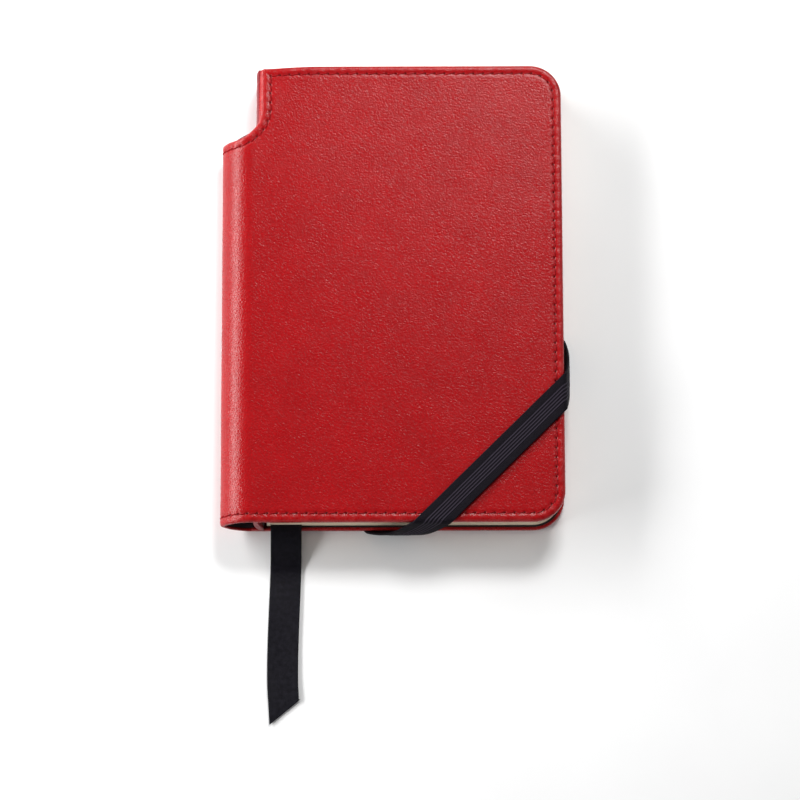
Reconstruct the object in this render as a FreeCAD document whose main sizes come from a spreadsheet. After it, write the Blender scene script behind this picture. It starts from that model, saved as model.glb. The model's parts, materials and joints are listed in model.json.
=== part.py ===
"""Pocket notebook: a stitched leather case with a pen sleeve along its spine, a sewn block of
ruled sections, a ribbon and a diagonal elastic.

Frame, in millimetres: +X runs from the spine to the fore edge, +Y to the head, +Z out of the
front cover. The origin is the middle of the closed case's back face, which rests on the table.
"""
import FreeCAD
import Part
import Sketcher

import os

V = FreeCAD.Vector
DOC = FreeCAD.newDocument("notebook")

SECTIONS = 10
SECTIONS_UNDER_RIBBON = 1
SEWING_STATIONS = 5

# Driving dimensions, in millimetres and degrees.
SIZES = {
    # closed case
    "half_width": 50.7,
    "half_height": 70.0,
    "thickness": 13.6,
    "corner": 9.4,
    "edge_roll": 0.7,
    "hinge_x": -38.7,
    "hinge_gap": 0.2,
    # one cover, from the outside in
    "leather": 0.9,
    "board": 0.8,
    "lining": 0.3,
    "rim": 0.8,
    "board_left": -36.0,
    # seams
    "stitch_inset": 2.5,
    "stitch_pitch": 2.9,
    "stitch_length": 2.1,
    "thread": 0.5,
    "thread_sunk": 0.3,
    # pen sleeve
    "sleeve_mid": 6.7,
    "sleeve_x": -41.2,
    "sleeve_radius": 10.1,
    "sleeve_nose": 2.4,
    "sleeve_lining": 0.4,
    "notch_y": 57.6,
    "notch_radius": 9.0,
    "notch_slope": 23.0,
    # rounded wall between the sleeve and the pages
    "wall_back": -38.95,
    "wall_bulge": 1.6,
    "wall_margin": 0.3,
    "inlay": 1.1,
    "inlay_margin": 0.4,
    # text block
    "page_inset": 1.3,
    "page_corner": 8.2,
    "folds_left": -37.0,
    "folds": 0.8,
    "leaf_gap": 0.1,
    "flyleaf": 0.12,
    "play": 0.04,
    "mull": 0.25,
    "mull_margin": 9.0,
    "sewing": 0.4,
    "sewing_deep": 0.2,
    "sewing_pitch": 27.0,
    # ribbon
    "ribbon_left": -36.05,
    "ribbon_width": 9.2,
    "ribbon": 0.22,
    "ribbon_head": 66.0,
    "ribbon_bend": 12.4,
    "ribbon_tip": 128.0,
    "ribbon_cut": 7.6,
    # elastic
    "band_width": 8.2,
    "band": 0.8,
    "band_offset": 82.1,
    "band_clear": 0.3,
    "band_wrap": 12.8,
    "tail": 0.6,
    "tail_length": 9.2,
    "slot": 0.7,
    "slot_play": 0.1,
}


def make_sheet():
    """The spreadsheet of driving dimensions, one named cell for each."""
    sheet = DOC.addObject("Spreadsheet::Sheet", "dim")
    for row, (name, value) in enumerate(SIZES.items(), start=1):
        sheet.set(f"A{row}", name)
        sheet.set(f"B{row}", str(value))
        sheet.setAlias(f"B{row}", name)
    DOC.recompute()
    return sheet


SHEET = make_sheet()


def amount(expression):
    """The number that an expression in the sheet's names comes to."""
    value = SHEET.evalExpression(expression)
    return float(getattr(value, "Value", value))


# Heights and places that follow from the driving dimensions.
COVER = "(dim.leather + dim.board + dim.lining)"
HINGE_RIGHT = "(dim.hinge_x + dim.hinge_gap)"
HINGE_LEFT = "(dim.hinge_x - dim.hinge_gap)"
SLEEVE_TOP = "(2 * dim.sleeve_mid)"
LEAF_LEFT = "(dim.folds_left + dim.folds + dim.leaf_gap)"
LEAF_RIGHT = "(dim.half_width - dim.page_inset)"
LEAF_TOP = "(dim.half_height - dim.page_inset)"
BLOCK_LOW = f"({COVER} + 2 * dim.play + dim.flyleaf)"
BLOCK_HIGH = f"(dim.thickness - {COVER} - 2 * dim.play - dim.flyleaf)"
RIBBON_SPACE = "(dim.ribbon + 2 * dim.play)"
PITCH = f"(({BLOCK_HIGH} - {BLOCK_LOW} + dim.play - {RIBBON_SPACE}) / {SECTIONS})"
RIBBON_LOW = f"({BLOCK_LOW} + {SECTIONS_UNDER_RIBBON} * {PITCH})"
BAND_REACH = "(dim.band_width / sqrt(2))"
BAND_OUT = "(dim.band_clear + dim.band)"
RIGHT_EDGE_Y = "(dim.half_width - dim.band_offset)"
FOOT_EDGE_X = "(dim.band_offset - dim.half_height)"
RIGHT_TAIL_Y = f"({RIGHT_EDGE_Y} + dim.band_wrap)"
FOOT_TAIL_X = f"({FOOT_EDGE_X} - dim.band_wrap)"


def new_body(label):
    """An empty body with the name of the piece it makes."""
    body = DOC.addObject("PartDesign::Body", label)
    body.Label = label
    return body


def new_sketch(body, role, offset="0"):
    """A sketch on one of the body's own planes, moved off it along the plane's normal."""
    sketch = body.newObject("Sketcher::SketchObject", f"{body.Label}_outline")
    plane = next(item for item in body.Origin.OriginFeatures if item.Role == role)
    sketch.AttachmentSupport = (plane, [""])
    sketch.MapMode = "FlatFace"
    sketch.setExpression("AttachmentOffset.Base.z", offset)
    return sketch


def arc_between(start, end, radius, turn):
    """The short arc from start to end, which bends left for turn 1 and right for turn -1."""
    chord = end - start
    middle = (start + end) * 0.5
    normal = V(-chord.y, chord.x, 0).normalize()
    to_centre = (radius**2 - chord.Length**2 / 4) ** 0.5
    crest = middle - normal * turn * (radius - to_centre)
    return Part.Arc(start, crest, end)


def draw_outline(sketch, points):
    """Draws a closed outline whose every point is bound to the sheet.

    A point is (x, y), reached by a straight line, or (x, y, radius, turn), reached by an arc.
    """
    places = [V(amount(point[0]), amount(point[1]), 0) for point in points]
    ends = []
    for index, point in enumerate(points):
        start, end = places[index - 1], places[index]
        if len(point) == 2:
            edge = sketch.addGeometry(Part.LineSegment(start, end))
            ends.append((edge, 1, 2))
        else:
            edge = sketch.addGeometry(arc_between(start, end, amount(point[2]), point[3]))
            ends.append((edge, 1, 2) if point[3] > 0 else (edge, 2, 1))
    for index, (edge, first, last) in enumerate(ends):
        previous = ends[index - 1]
        sketch.addConstraint(Sketcher.Constraint("Coincident", previous[0], previous[2], edge, first))
    for index, (edge, first, last) in enumerate(ends):
        point = points[index]
        for kind, text in (("DistanceX", point[0]), ("DistanceY", point[1])):
            rule = Sketcher.Constraint(kind, -1, 1, edge, last, amount(text))
            sketch.setExpression(f"Constraints[{sketch.addConstraint(rule)}]", text)
        if len(point) > 2:
            rule = Sketcher.Constraint("Radius", edge, amount(point[2]))
            sketch.setExpression(f"Constraints[{sketch.addConstraint(rule)}]", point[2])


def add_pad(body, sketch, length, backwards=False):
    """Pads a sketch by a bound length."""
    pad = body.newObject("PartDesign::Pad", f"{body.Label}_pad")
    pad.Profile = sketch
    pad.setExpression("Length", length)
    pad.Reversed = backwards
    DOC.recompute()
    return pad


def add_pocket(body, sketch, length, upwards=True):
    """Cuts a sketch out of the body by a bound length, and makes sure that it cuts."""
    before = body.Shape.Volume
    pocket = body.newObject("PartDesign::Pocket", f"{body.Label}_pocket")
    pocket.Profile = sketch
    pocket.setExpression("Length", length)
    pocket.Reversed = upwards
    DOC.recompute()
    if body.Shape.Volume > before - 0.01:
        raise RuntimeError(f"{body.Label}: a pocket cuts nothing")
    return pocket


def add_fillet(body, base, radius, chosen):
    """Rounds the edges of the base feature that the given test picks out."""
    names = [f"Edge{i}" for i, edge in enumerate(base.Shape.Edges, start=1) if chosen(edge)]
    fillet = body.newObject("PartDesign::Fillet", f"{body.Label}_fillet")
    fillet.Base = (base, names)
    fillet.setExpression("Radius", radius)
    DOC.recompute()
    return fillet


def plate_points(left, right, top, radius):
    """A plate's outline: square corners at the spine and round ones at the fore edge."""
    return [
        (left, f"-{top}"),
        (f"{right} - {radius}", f"-{top}"),
        (right, f"-{top} + {radius}", radius, 1),
        (right, f"{top} - {radius}"),
        (f"{right} - {radius}", top, radius, 1),
        (left, top),
    ]


def plate(label, left, right, top, radius, low, height):
    """A flat sheet or board that lies between low and low + height."""
    body = new_body(label)
    sketch = new_sketch(body, "XY_Plane")
    draw_outline(sketch, plate_points(left, right, top, radius))
    add_pad(body, sketch, height)
    body.setExpression("Placement.Base.z", low)
    return body


def cut(label, base, tool):
    """The base with the tool's shape taken out."""
    result = DOC.addObject("Part::Cut", label)
    result.Label = label
    result.Base = base
    result.Tool = tool
    DOC.recompute()
    return result


def solids(label, shapes):
    """One node that groups several separate small solids."""
    feature = DOC.addObject("Part::Feature", label)
    feature.Label = label
    feature.Shape = Part.makeCompound(shapes)
    feature.Placement = FreeCAD.Placement()
    return feature


# ---------------------------------------------------------------- covers

def cover_skin(label, left):
    """A cover's leather, inner face at zero: a plate that turns in round the board's edges."""
    body = new_body(label)
    outer = new_sketch(body, "XY_Plane")
    draw_outline(outer, plate_points(left, "dim.half_width", "dim.half_height", "dim.corner"))
    pad = add_pad(body, outer, COVER)
    top = amount(COVER)
    spine = amount(left)

    def rolled(edge):
        box = edge.BoundBox
        return box.ZMin > top - 0.01 and box.XMax > spine + 0.01

    add_fillet(body, pad, "dim.edge_roll", rolled)
    inner = new_sketch(body, "XY_Plane")
    draw_outline(inner, recess_points())
    add_pocket(body, inner, "dim.board + dim.lining")
    return body


def recess_points():
    """The outline of the space for the board and the lining."""
    right = "(dim.half_width - dim.rim)"
    top = "(dim.half_height - dim.rim)"
    return plate_points("dim.board_left", right, top, "(dim.corner - dim.rim)")


def filling(label, low, height):
    """The board or the lining that fills a cover's recess."""
    body = new_body(label)
    sketch = new_sketch(body, "XY_Plane")
    draw_outline(sketch, recess_points())
    add_pad(body, sketch, height)
    body.setExpression("Placement.Base.z", low)
    return body


def seam_path(height):
    """The line of the seam round a cover, from the hinge at the head to the hinge at the foot."""
    inset = amount("dim.stitch_inset")
    left = amount("dim.hinge_x") + inset
    right = amount("dim.half_width") - inset
    top = amount("dim.half_height") - inset
    radius = amount("dim.corner") - inset
    head = V(right - radius, top, height)
    fore = V(right, top - radius, height)
    foot_fore = V(right, radius - top, height)
    foot = V(right - radius, -top, height)
    half = radius * 0.5**0.5
    head_crest = V(right - radius + half, top - radius + half, height)
    foot_crest = V(head_crest.x, -head_crest.y, height)
    edges = [
        Part.makeLine(V(left, top, height), head),
        Part.Arc(head, head_crest, fore).toShape(),
        Part.makeLine(fore, foot_fore),
        Part.Arc(foot_fore, foot_crest, foot).toShape(),
        Part.makeLine(foot, V(left, -top, height)),
    ]
    return Part.Wire(edges)


def stitch(middle, along, outwards):
    """One stitch, sunk in the leather with its top flush: along and outwards are directions."""
    length = amount("dim.stitch_length")
    thread = amount("dim.thread")
    sunk = amount("dim.thread_sunk")
    block = Part.makeBox(length, thread, sunk, V(-length / 2, -thread / 2, -sunk))
    across = outwards.cross(along)
    block.Placement = FreeCAD.Placement(middle, FreeCAD.Rotation(along, across, outwards, "XYZ"))
    return block


def stitches_along(path, outwards):
    """Stitches laid end to end at the seam's pitch along a path on a flat face."""
    count = round(path.Length / amount("dim.stitch_pitch"))
    holes = path.discretize(count + 1)
    made = []
    for start, end in zip(holes, holes[1:]):
        made.append(stitch((start + end) * 0.5, (end - start).normalize(), outwards))
    return made


def notch_arc(inset):
    """Centre, radius and end angle in degrees of the notch's round part, that far inside its edge."""
    centre = V(amount("dim.hinge_x - dim.notch_radius"), amount("dim.notch_y"), 0)
    return centre, amount("dim.notch_radius") + inset, 90 - amount("dim.notch_slope")


def cover_notch_seam(height):
    """The seam beside the notch, on a cover: down from the head seam, then round to the hinge."""
    inset = amount("dim.stitch_inset")
    centre, radius, _ = notch_arc(inset)
    centre.z = height
    start = V(centre.x + radius, centre.y, height)
    end_x = amount(HINGE_RIGHT) + amount("dim.thread")
    end = V(end_x, centre.y - (radius**2 - (end_x - centre.x)**2)**0.5, height)
    middle = (start + end) * 0.5 - centre
    crest = centre + middle.normalize() * radius
    top = V(start.x, amount("dim.half_height") - inset - amount("dim.thread"), height)
    return Part.Wire([Part.makeLine(top, start), Part.Arc(start, crest, end).toShape()])


def cover_stitches(height, outwards):
    """All the stitches of one cover."""
    paths = (seam_path(height), cover_notch_seam(height))
    return [block for path in paths for block in stitches_along(path, outwards)]


def make_front_cover():
    """The front cover: leather, board, lining and seam."""
    seam = solids("front_cover_stitching", cover_stitches(amount("dim.thickness"), V(0, 0, 1)))
    skin = cover_skin("front_cover_skin", HINGE_RIGHT)
    skin.setExpression("Placement.Base.z", f"dim.thickness - {COVER}")
    lining_low = f"dim.thickness - {COVER}"
    return [
        cut("front_cover_leather", skin, seam),
        filling("front_cover_board", f"{lining_low} + dim.lining", "dim.board"),
        filling("front_cover_lining", lining_low, "dim.lining"),
        seam,
    ]


def slanted(edge, near, far, middle, half):
    """A strip that runs from an edge at 45 degrees, up and towards the spine.

    Its ends lie along the fore edge, or along the foot, at the distances near and far from it.
    """
    if edge == "fore":
        return [
            (f"dim.half_width + {near}", f"{middle} - {half}"),
            (f"dim.half_width + {near}", f"{middle} + {half}"),
            (f"dim.half_width - {far}", f"{middle} + {half} + {near} + {far}"),
            (f"dim.half_width - {far}", f"{middle} - {half} + {near} + {far}"),
        ]
    return [
        (f"{middle} - {half}", f"-dim.half_height - {near}"),
        (f"{middle} + {half}", f"-dim.half_height - {near}"),
        (f"{middle} + {half} - {near} - {far}", f"-dim.half_height + {far}"),
        (f"{middle} - {half} - {near} - {far}", f"-dim.half_height + {far}"),
    ]


def tail_strips(label, play, height, slot_height):
    """The two tails of the elastic under the back cover, each with its end up through a slot."""
    body = new_body(label)
    half = f"({BAND_REACH} + {play})"
    for edge, middle in (("fore", RIGHT_TAIL_Y), ("foot", FOOT_TAIL_X)):
        strip = new_sketch(body, "XY_Plane")
        draw_outline(strip, slanted(edge, BAND_OUT, f"(dim.tail_length + {play})", middle, half))
        add_pad(body, strip, height)
        end = new_sketch(body, "XY_Plane")
        inward = "(dim.tail_length - dim.slot)"
        shift = f"({middle} + {inward})" if edge == "fore" else f"({middle} - {inward})"
        draw_outline(end, slanted(edge, f"({play} - {inward})", f"(dim.tail_length + {play})", shift, half))
        add_pad(body, end, slot_height)
    return body


def make_back_cover():
    """The back cover, with the shallow ways and the slots that hold the elastic's tails."""
    seam = solids("back_cover_seam", cover_stitches(0, V(0, 0, -1)))
    skin = cover_skin("back_cover_skin", HINGE_LEFT)
    skin.Placement = FreeCAD.Placement(V(0, 0, 0), FreeCAD.Rotation(V(1, 0, 0), 180))
    skin.setExpression("Placement.Base.z", COVER)
    ways = tail_strips("elastic_ways", "dim.slot_play", "dim.tail + dim.slot_play", f"{COVER} - dim.lining")
    tails = tail_strips("elastic_tails", "0", "dim.tail", f"{COVER} - dim.lining - dim.slot_play")
    board = filling("back_cover_card", "dim.leather", "dim.board")
    return [
        cut("back_cover_leather", cut("back_cover_hide", skin, ways), seam),
        cut("back_cover_board", board, ways),
        filling("back_cover_lining", "dim.leather + dim.board", "dim.lining"),
        cut("back_cover_stitching", seam, ways),
        tails,
    ]


# ---------------------------------------------------------------- spine

def sleeve_nose(depth):
    """Where the sleeve's two curved sides meet, that far inside its outer face."""
    reach = f"(dim.sleeve_radius - {depth})^2 - (dim.sleeve_radius - dim.sleeve_mid)^2"
    return f"dim.sleeve_x - sqrt({reach})"


def sleeve_shell(label, leg, outer, inner, low, length):
    """A shell bent round the pen's space, between two depths inside the sleeve's outer face.

    Its two legs end at the given X. It runs from low for the given length, less the notch.
    """
    body = new_body(label)
    profile = new_sketch(body, "XZ_Plane", f"-({low})")
    far = f"(dim.sleeve_radius - {outer})"
    near = f"(dim.sleeve_radius - {inner})"
    draw_outline(profile, [
        (leg, f"{SLEEVE_TOP} - {outer}"),
        ("dim.sleeve_x", f"{SLEEVE_TOP} - {outer}"),
        (sleeve_nose(outer), "dim.sleeve_mid", far, 1),
        ("dim.sleeve_x", outer, far, 1),
        (leg, outer),
        (leg, inner),
        ("dim.sleeve_x", inner),
        (sleeve_nose(inner), "dim.sleeve_mid", near, -1),
        ("dim.sleeve_x", f"{SLEEVE_TOP} - {inner}", near, -1),
        (leg, f"{SLEEVE_TOP} - {inner}"),
    ])
    pad = add_pad(body, profile, length, backwards=True)
    outside = amount(sleeve_nose(outer)) + 0.01
    inside = amount(sleeve_nose(inner)) + 0.01
    middle = amount("dim.sleeve_mid")

    def on_nose(edge, place):
        box = edge.BoundBox
        return abs(box.ZMin - middle) < 0.01 and box.ZLength < 0.01 and abs(box.XMax - place) < 0.02

    rounded = add_fillet(body, pad, f"dim.sleeve_nose - {outer}", lambda edge: on_nose(edge, outside))
    add_fillet(body, rounded, f"dim.sleeve_nose - {inner}", lambda edge: on_nose(edge, inside))
    return body


def cut_notch(body, inset):
    """Cuts the head of a sleeve to the notch's edge, or to that far below it."""
    plan = new_sketch(body, "XY_Plane", "-1")
    reach = f"(dim.notch_radius + {inset})"
    turn_x = f"dim.hinge_x - dim.notch_radius + {reach} * sin(dim.notch_slope)"
    turn_y = f"dim.notch_y - {reach} * cos(dim.notch_slope)"
    outside = "-dim.half_width - 1"
    run = f"({turn_x} + dim.half_width + 1)"
    above = "dim.notch_y + 1"
    draw_outline(plan, [
        (f"dim.hinge_x + {inset}", above),
        (outside, above),
        (outside, f"{turn_y} - {run} * tan(dim.notch_slope)"),
        (turn_x, turn_y),
        (f"dim.hinge_x + {inset}", "dim.notch_y", reach, 1),
    ])
    add_pocket(body, plan, "dim.thickness + 2")


def sleeve_surface(x):
    """The point of the sleeve's outer face above the pen's space at x, and the face's normal."""
    radius = amount("dim.sleeve_radius")
    centre = V(amount("dim.sleeve_x"), 0, amount(SLEEVE_TOP) - radius)
    if x >= centre.x:
        return V(x, 0, centre.z + radius), V(0, 0, 1)
    normal = V(x - centre.x, 0, (radius**2 - (x - centre.x)**2)**0.5)
    return centre + normal, normal.normalize()


def sleeve_notch_plan():
    """The seam beside the notch on the sleeve, in plan: round from the hinge, then straight."""
    inset = amount("dim.stitch_inset")
    centre, radius, end_angle = notch_arc(inset)
    slope = amount("dim.notch_slope")
    turned = FreeCAD.Rotation(V(0, 0, 1), -end_angle).multVec(V(radius, 0, 0))
    start_x = amount(HINGE_LEFT) - amount("dim.thread")
    start = V(start_x, centre.y - (radius**2 - (start_x - centre.x)**2)**0.5, 0)
    crest = centre + ((start - centre) + turned).normalize() * radius
    turn = centre + turned
    run = turn.x + amount("dim.half_width - dim.stitch_inset")
    end = turn + FreeCAD.Rotation(V(0, 0, 1), slope).multVec(V(-run, 0, 0))
    return Part.Wire([Part.Arc(start, crest, turn).toShape(), Part.makeLine(turn, end)])


def sleeve_foot_plan():
    """The seam across the sleeve's foot, in plan."""
    y = amount("dim.stitch_inset - dim.half_height")
    start = V(amount(HINGE_LEFT) - amount("dim.thread"), y, 0)
    end = V(amount("dim.stitch_inset - dim.half_width"), y, 0)
    return Part.Wire([Part.makeLine(start, end)])


def sleeve_stitches():
    """Stitches along the notch and the foot, on the sleeve's upper and lower sides."""
    made = []
    middle = amount("dim.sleeve_mid")
    for plan in (sleeve_notch_plan(), sleeve_foot_plan()):
        count = round(plan.Length / amount("dim.stitch_pitch"))
        holes = plan.discretize(count + 1)
        for start, end in zip(holes, holes[1:]):
            raised = [sleeve_surface(hole.x)[0] + V(0, hole.y, 0) for hole in (start, end)]
            place, normal = sleeve_surface((start.x + end.x) / 2)
            place.y = (start.y + end.y) / 2
            along = raised[1] - raised[0]
            along -= normal * along.dot(normal)
            block = stitch(place, along.normalize(), normal)
            made.append(block)
            made.append(block.mirror(V(0, 0, middle), V(0, 0, 1)))
    return made


def make_sleeve():
    """The pen sleeve: the leather bent round the pen's space, its lining and its seams."""
    seam = solids("sleeve_stitching", sleeve_stitches())
    length = "dim.half_height + dim.notch_y"
    hide = sleeve_shell("sleeve_hide", HINGE_LEFT, "0", "dim.leather", "-dim.half_height", length)
    cut_notch(hide, "0")
    lining = sleeve_shell(
        "pen_sleeve_lining",
        "dim.wall_back - dim.wall_bulge - dim.play",
        "dim.leather",
        "(dim.leather + dim.sleeve_lining)",
        "-dim.half_height + dim.rim",
        f"{length} - dim.rim",
    )
    cut_notch(lining, "dim.rim")
    return [cut("pen_sleeve_leather", hide, seam), lining, seam]


def add_wall_part(body, low, high, start, length):
    """Adds a stretch of the wall: flat at its back and rounded towards the pen's space."""
    profile = new_sketch(body, "XZ_Plane", f"-({start})")
    chord = f"(({high} - {low}) / 2)"
    radius = f"(({chord}^2 + dim.wall_bulge^2) / (2 * dim.wall_bulge))"
    crown_x = "dim.wall_back - dim.wall_bulge"
    draw_outline(profile, [
        ("dim.wall_back", high),
        (crown_x, f"({high} + {low}) / 2", radius, 1),
        ("dim.wall_back", low, radius, 1),
    ])
    add_pad(body, profile, length, backwards=True)


def make_spine():
    """The wall behind the pages and the card strip that stiffens it."""
    wall = new_body("spine_wall_leather")
    in_sleeve_low = "(dim.leather + dim.play)"
    in_sleeve_high = f"({SLEEVE_TOP} - dim.leather - dim.play)"
    add_wall_part(wall, in_sleeve_low, in_sleeve_high, "-dim.half_height", "2 * dim.half_height")
    full_low = "dim.wall_margin / 2"
    full_high = f"({SLEEVE_TOP} - dim.wall_margin / 2)"
    notch_top = "(dim.notch_y - dim.wall_bulge)"
    add_wall_part(wall, full_low, full_high, notch_top, f"dim.half_height - {notch_top}")
    inlay = plate_between(
        "spine_inlay",
        "dim.wall_back",
        "dim.wall_back + dim.inlay",
        "dim.half_height - dim.page_inset",
        f"{COVER} + dim.inlay_margin",
        f"dim.thickness - {COVER} - dim.inlay_margin",
    )
    return [wall, inlay]


def plate_between(label, left, right, top, low, high):
    """An upright strip along the spine, between two X values and two heights."""
    body = new_body(label)
    sketch = new_sketch(body, "XY_Plane")
    draw_outline(sketch, [(left, f"-({top})"), (right, f"-({top})"), (right, top), (left, top)])
    add_pad(body, sketch, f"{high} - ({low})")
    body.setExpression("Placement.Base.z", low)
    return body


# ---------------------------------------------------------------- text block

def leaves(label, low, height):
    """The free part of a section or of one leaf, beside the bound folds."""
    return plate(label, LEAF_LEFT, LEAF_RIGHT, LEAF_TOP, "dim.page_corner", low, height)


def section_low(number):
    """The height of a section's lower face. Section 1 lies under the front cover."""
    above = SECTIONS - number
    low = f"{BLOCK_LOW} + {above} * {PITCH}"
    if above >= SECTIONS_UNDER_RIBBON:
        low += f" + {RIBBON_SPACE}"
    return low


def make_block():
    """The sewn block: bound folds, sections, flyleaves, mull and sewing."""
    high = f"dim.thickness - {COVER} - dim.leaf_gap"
    folds = plate_between(
        "folds_uncut",
        "dim.folds_left",
        "dim.folds_left + dim.folds",
        LEAF_TOP,
        f"{COVER} + dim.play",
        high,
    )
    pieces = [leaves("front_flyleaf", f"{BLOCK_HIGH} + dim.play", "dim.flyleaf")]
    for number in range(1, SECTIONS + 1):
        pieces.append(leaves(f"section_{number:02d}", section_low(number), f"{PITCH} - dim.play"))
    pieces.append(leaves("back_flyleaf", f"{COVER} + dim.play", "dim.flyleaf"))
    threads = solids("sewing_thread", sewing_runs())
    mull = plate_between(
        "spine_mull",
        "dim.folds_left - dim.mull",
        "dim.folds_left",
        "dim.half_height - dim.mull_margin",
        f"{COVER} + dim.play",
        high,
    )
    return [cut("text_block_folds", folds, threads), threads, mull] + pieces


def sewing_runs():
    """The thread that crosses the backs of the sections at each sewing station."""
    width = amount("dim.sewing")
    low = amount(f"{COVER} + 2 * dim.sewing")
    high = amount(f"dim.thickness - {COVER} - 2 * dim.sewing")
    first = -amount("dim.sewing_pitch") * (SEWING_STATIONS - 1) / 2
    runs = []
    for station in range(SEWING_STATIONS):
        y = first + station * amount("dim.sewing_pitch")
        corner = V(amount("dim.folds_left"), y - width / 2, low)
        runs.append(Part.makeBox(amount("dim.sewing_deep"), width, high - low, corner))
    return runs


# ---------------------------------------------------------------- ribbon and elastic

def make_ribbon():
    """The ribbon: glued at the head, flat between two sections, over the edge and on the table."""
    body = new_body("ribbon_bookmark")
    side = new_sketch(body, "YZ_Plane", "dim.ribbon_left")
    under = f"({RIBBON_LOW} + dim.play)"
    run = f"sqrt(4 * dim.ribbon_bend * {under} - {under}^2)"
    leaves_y = "(-dim.half_height + dim.rim)"
    half_y = f"({leaves_y} - {run} / 2)"
    table_y = f"({leaves_y} - {run})"
    lean = f"({run} / 2 / dim.ribbon_bend)"
    shift_y = f"(dim.ribbon / 2 * {lean})"
    shift_z = f"(dim.ribbon / 2 * sqrt(1 - {lean}^2))"
    middle_z = f"(({under} + dim.ribbon) / 2)"
    wide = "dim.ribbon_bend + dim.ribbon / 2"
    tight = "dim.ribbon_bend - dim.ribbon / 2"
    draw_outline(side, [
        ("dim.ribbon_head", f"{under} + dim.ribbon"),
        (leaves_y, f"{under} + dim.ribbon"),
        (f"{half_y} - {shift_y}", f"{middle_z} + {shift_z}", wide, 1),
        (table_y, "dim.ribbon", tight, -1),
        ("-dim.ribbon_tip", "dim.ribbon"),
        ("-dim.ribbon_tip", "0"),
        (table_y, "0"),
        (f"{half_y} + {shift_y}", f"{middle_z} - {shift_z}", wide, 1),
        (leaves_y, under, tight, -1),
        ("dim.ribbon_head", under),
    ])
    add_pad(body, side, "dim.ribbon_width")
    end = new_sketch(body, "XY_Plane", "-1")
    far_side = "dim.ribbon_left + dim.ribbon_width + 1"
    draw_outline(end, [
        ("dim.ribbon_left", "-dim.ribbon_tip"),
        ("dim.ribbon_left", "-dim.ribbon_tip - 1"),
        (far_side, "-dim.ribbon_tip - 1"),
        (far_side, "-dim.ribbon_tip + dim.ribbon_cut * (1 + 1 / dim.ribbon_width)"),
    ])
    add_pocket(body, end, "3")
    return [body]


def add_band_side(body, edge, low, high):
    """Adds the band's run down the fore edge or the foot, from high on the front to low."""
    on_fore = edge == "fore"
    outward = "dim.half_width" if on_fore else "dim.half_height"
    sketch = new_sketch(body, "YZ_Plane" if on_fore else "XZ_Plane", f"{outward} + dim.band_clear")
    top = RIGHT_EDGE_Y if on_fore else FOOT_EDGE_X
    shift = f"(dim.band_wrap * ({high} - {low}) / ({high}))"
    end = f"({top} + {shift})" if on_fore else f"({top} - {shift})"
    draw_outline(sketch, [
        (f"{end} - {BAND_REACH}", low),
        (f"{end} + {BAND_REACH}", low),
        (f"{top} + {BAND_REACH}", high),
        (f"{top} - {BAND_REACH}", high),
    ])
    add_pad(body, sketch, "dim.band")


def make_elastic():
    """The elastic: one band across the front's corner, down both edges to its tails."""
    body = new_body("elastic_band")
    face = "dim.thickness + dim.play"
    right = f"(dim.half_width + {BAND_OUT})"
    foot = f"(dim.half_height + {BAND_OUT})"
    front = new_sketch(body, "XY_Plane", face)
    draw_outline(front, [
        (right, f"{RIGHT_EDGE_Y} + {BAND_OUT} + {BAND_REACH}"),
        (f"{FOOT_EDGE_X} - {BAND_OUT} - {BAND_REACH}", f"-{foot}"),
        (f"{FOOT_EDGE_X} - {BAND_OUT} + {BAND_REACH}", f"-{foot}"),
        (right, f"{RIGHT_EDGE_Y} + {BAND_OUT} - {BAND_REACH}"),
    ])
    add_pad(body, front, "dim.band")
    for edge in ("fore", "foot"):
        add_band_side(body, edge, "(dim.tail + dim.play)", f"({face})")
    return [body]


# ---------------------------------------------------------------- output

def check(pieces):
    """Stops if any object failed, or any piece is empty, open or damaged."""
    for item in DOC.Objects:
        if {"Invalid", "Error"} & set(item.State):
            raise RuntimeError(f"{item.Label} did not compute: {item.State}")
    for piece in pieces:
        shape = piece.Shape
        if shape.isNull() or not shape.isValid() or not shape.Solids or shape.Volume <= 0:
            raise RuntimeError(f"{piece.Label} is not a valid solid")


def main():
    """Builds every piece, checks it and writes it to parts/."""
    pieces = make_front_cover() + make_back_cover() + make_sleeve() + make_spine()
    pieces += make_block() + make_ribbon() + make_elastic()
    DOC.recompute()
    check(pieces)
    os.makedirs("parts", exist_ok=True)
    for piece in pieces:
        piece.Shape.exportStep(f"parts/{piece.Label}.step")
        print(f"{piece.Label}: {len(piece.Shape.Solids)} solids, {piece.Shape.Volume:.1f} mm3")


main()
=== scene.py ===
"""Looks of the pocket notebook: leather case, seams, leaves, ribbon and elastic, round the CAD frame.

Lengths are in millimetres until a mesh is made. +X runs to the fore edge, +Y to the head, +Z up.
"""

import json
import math

import bmesh
import bpy
import numpy as np
from mathutils import Matrix, Vector, noise
from mathutils.geometry import delaunay_2d_cdt


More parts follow.
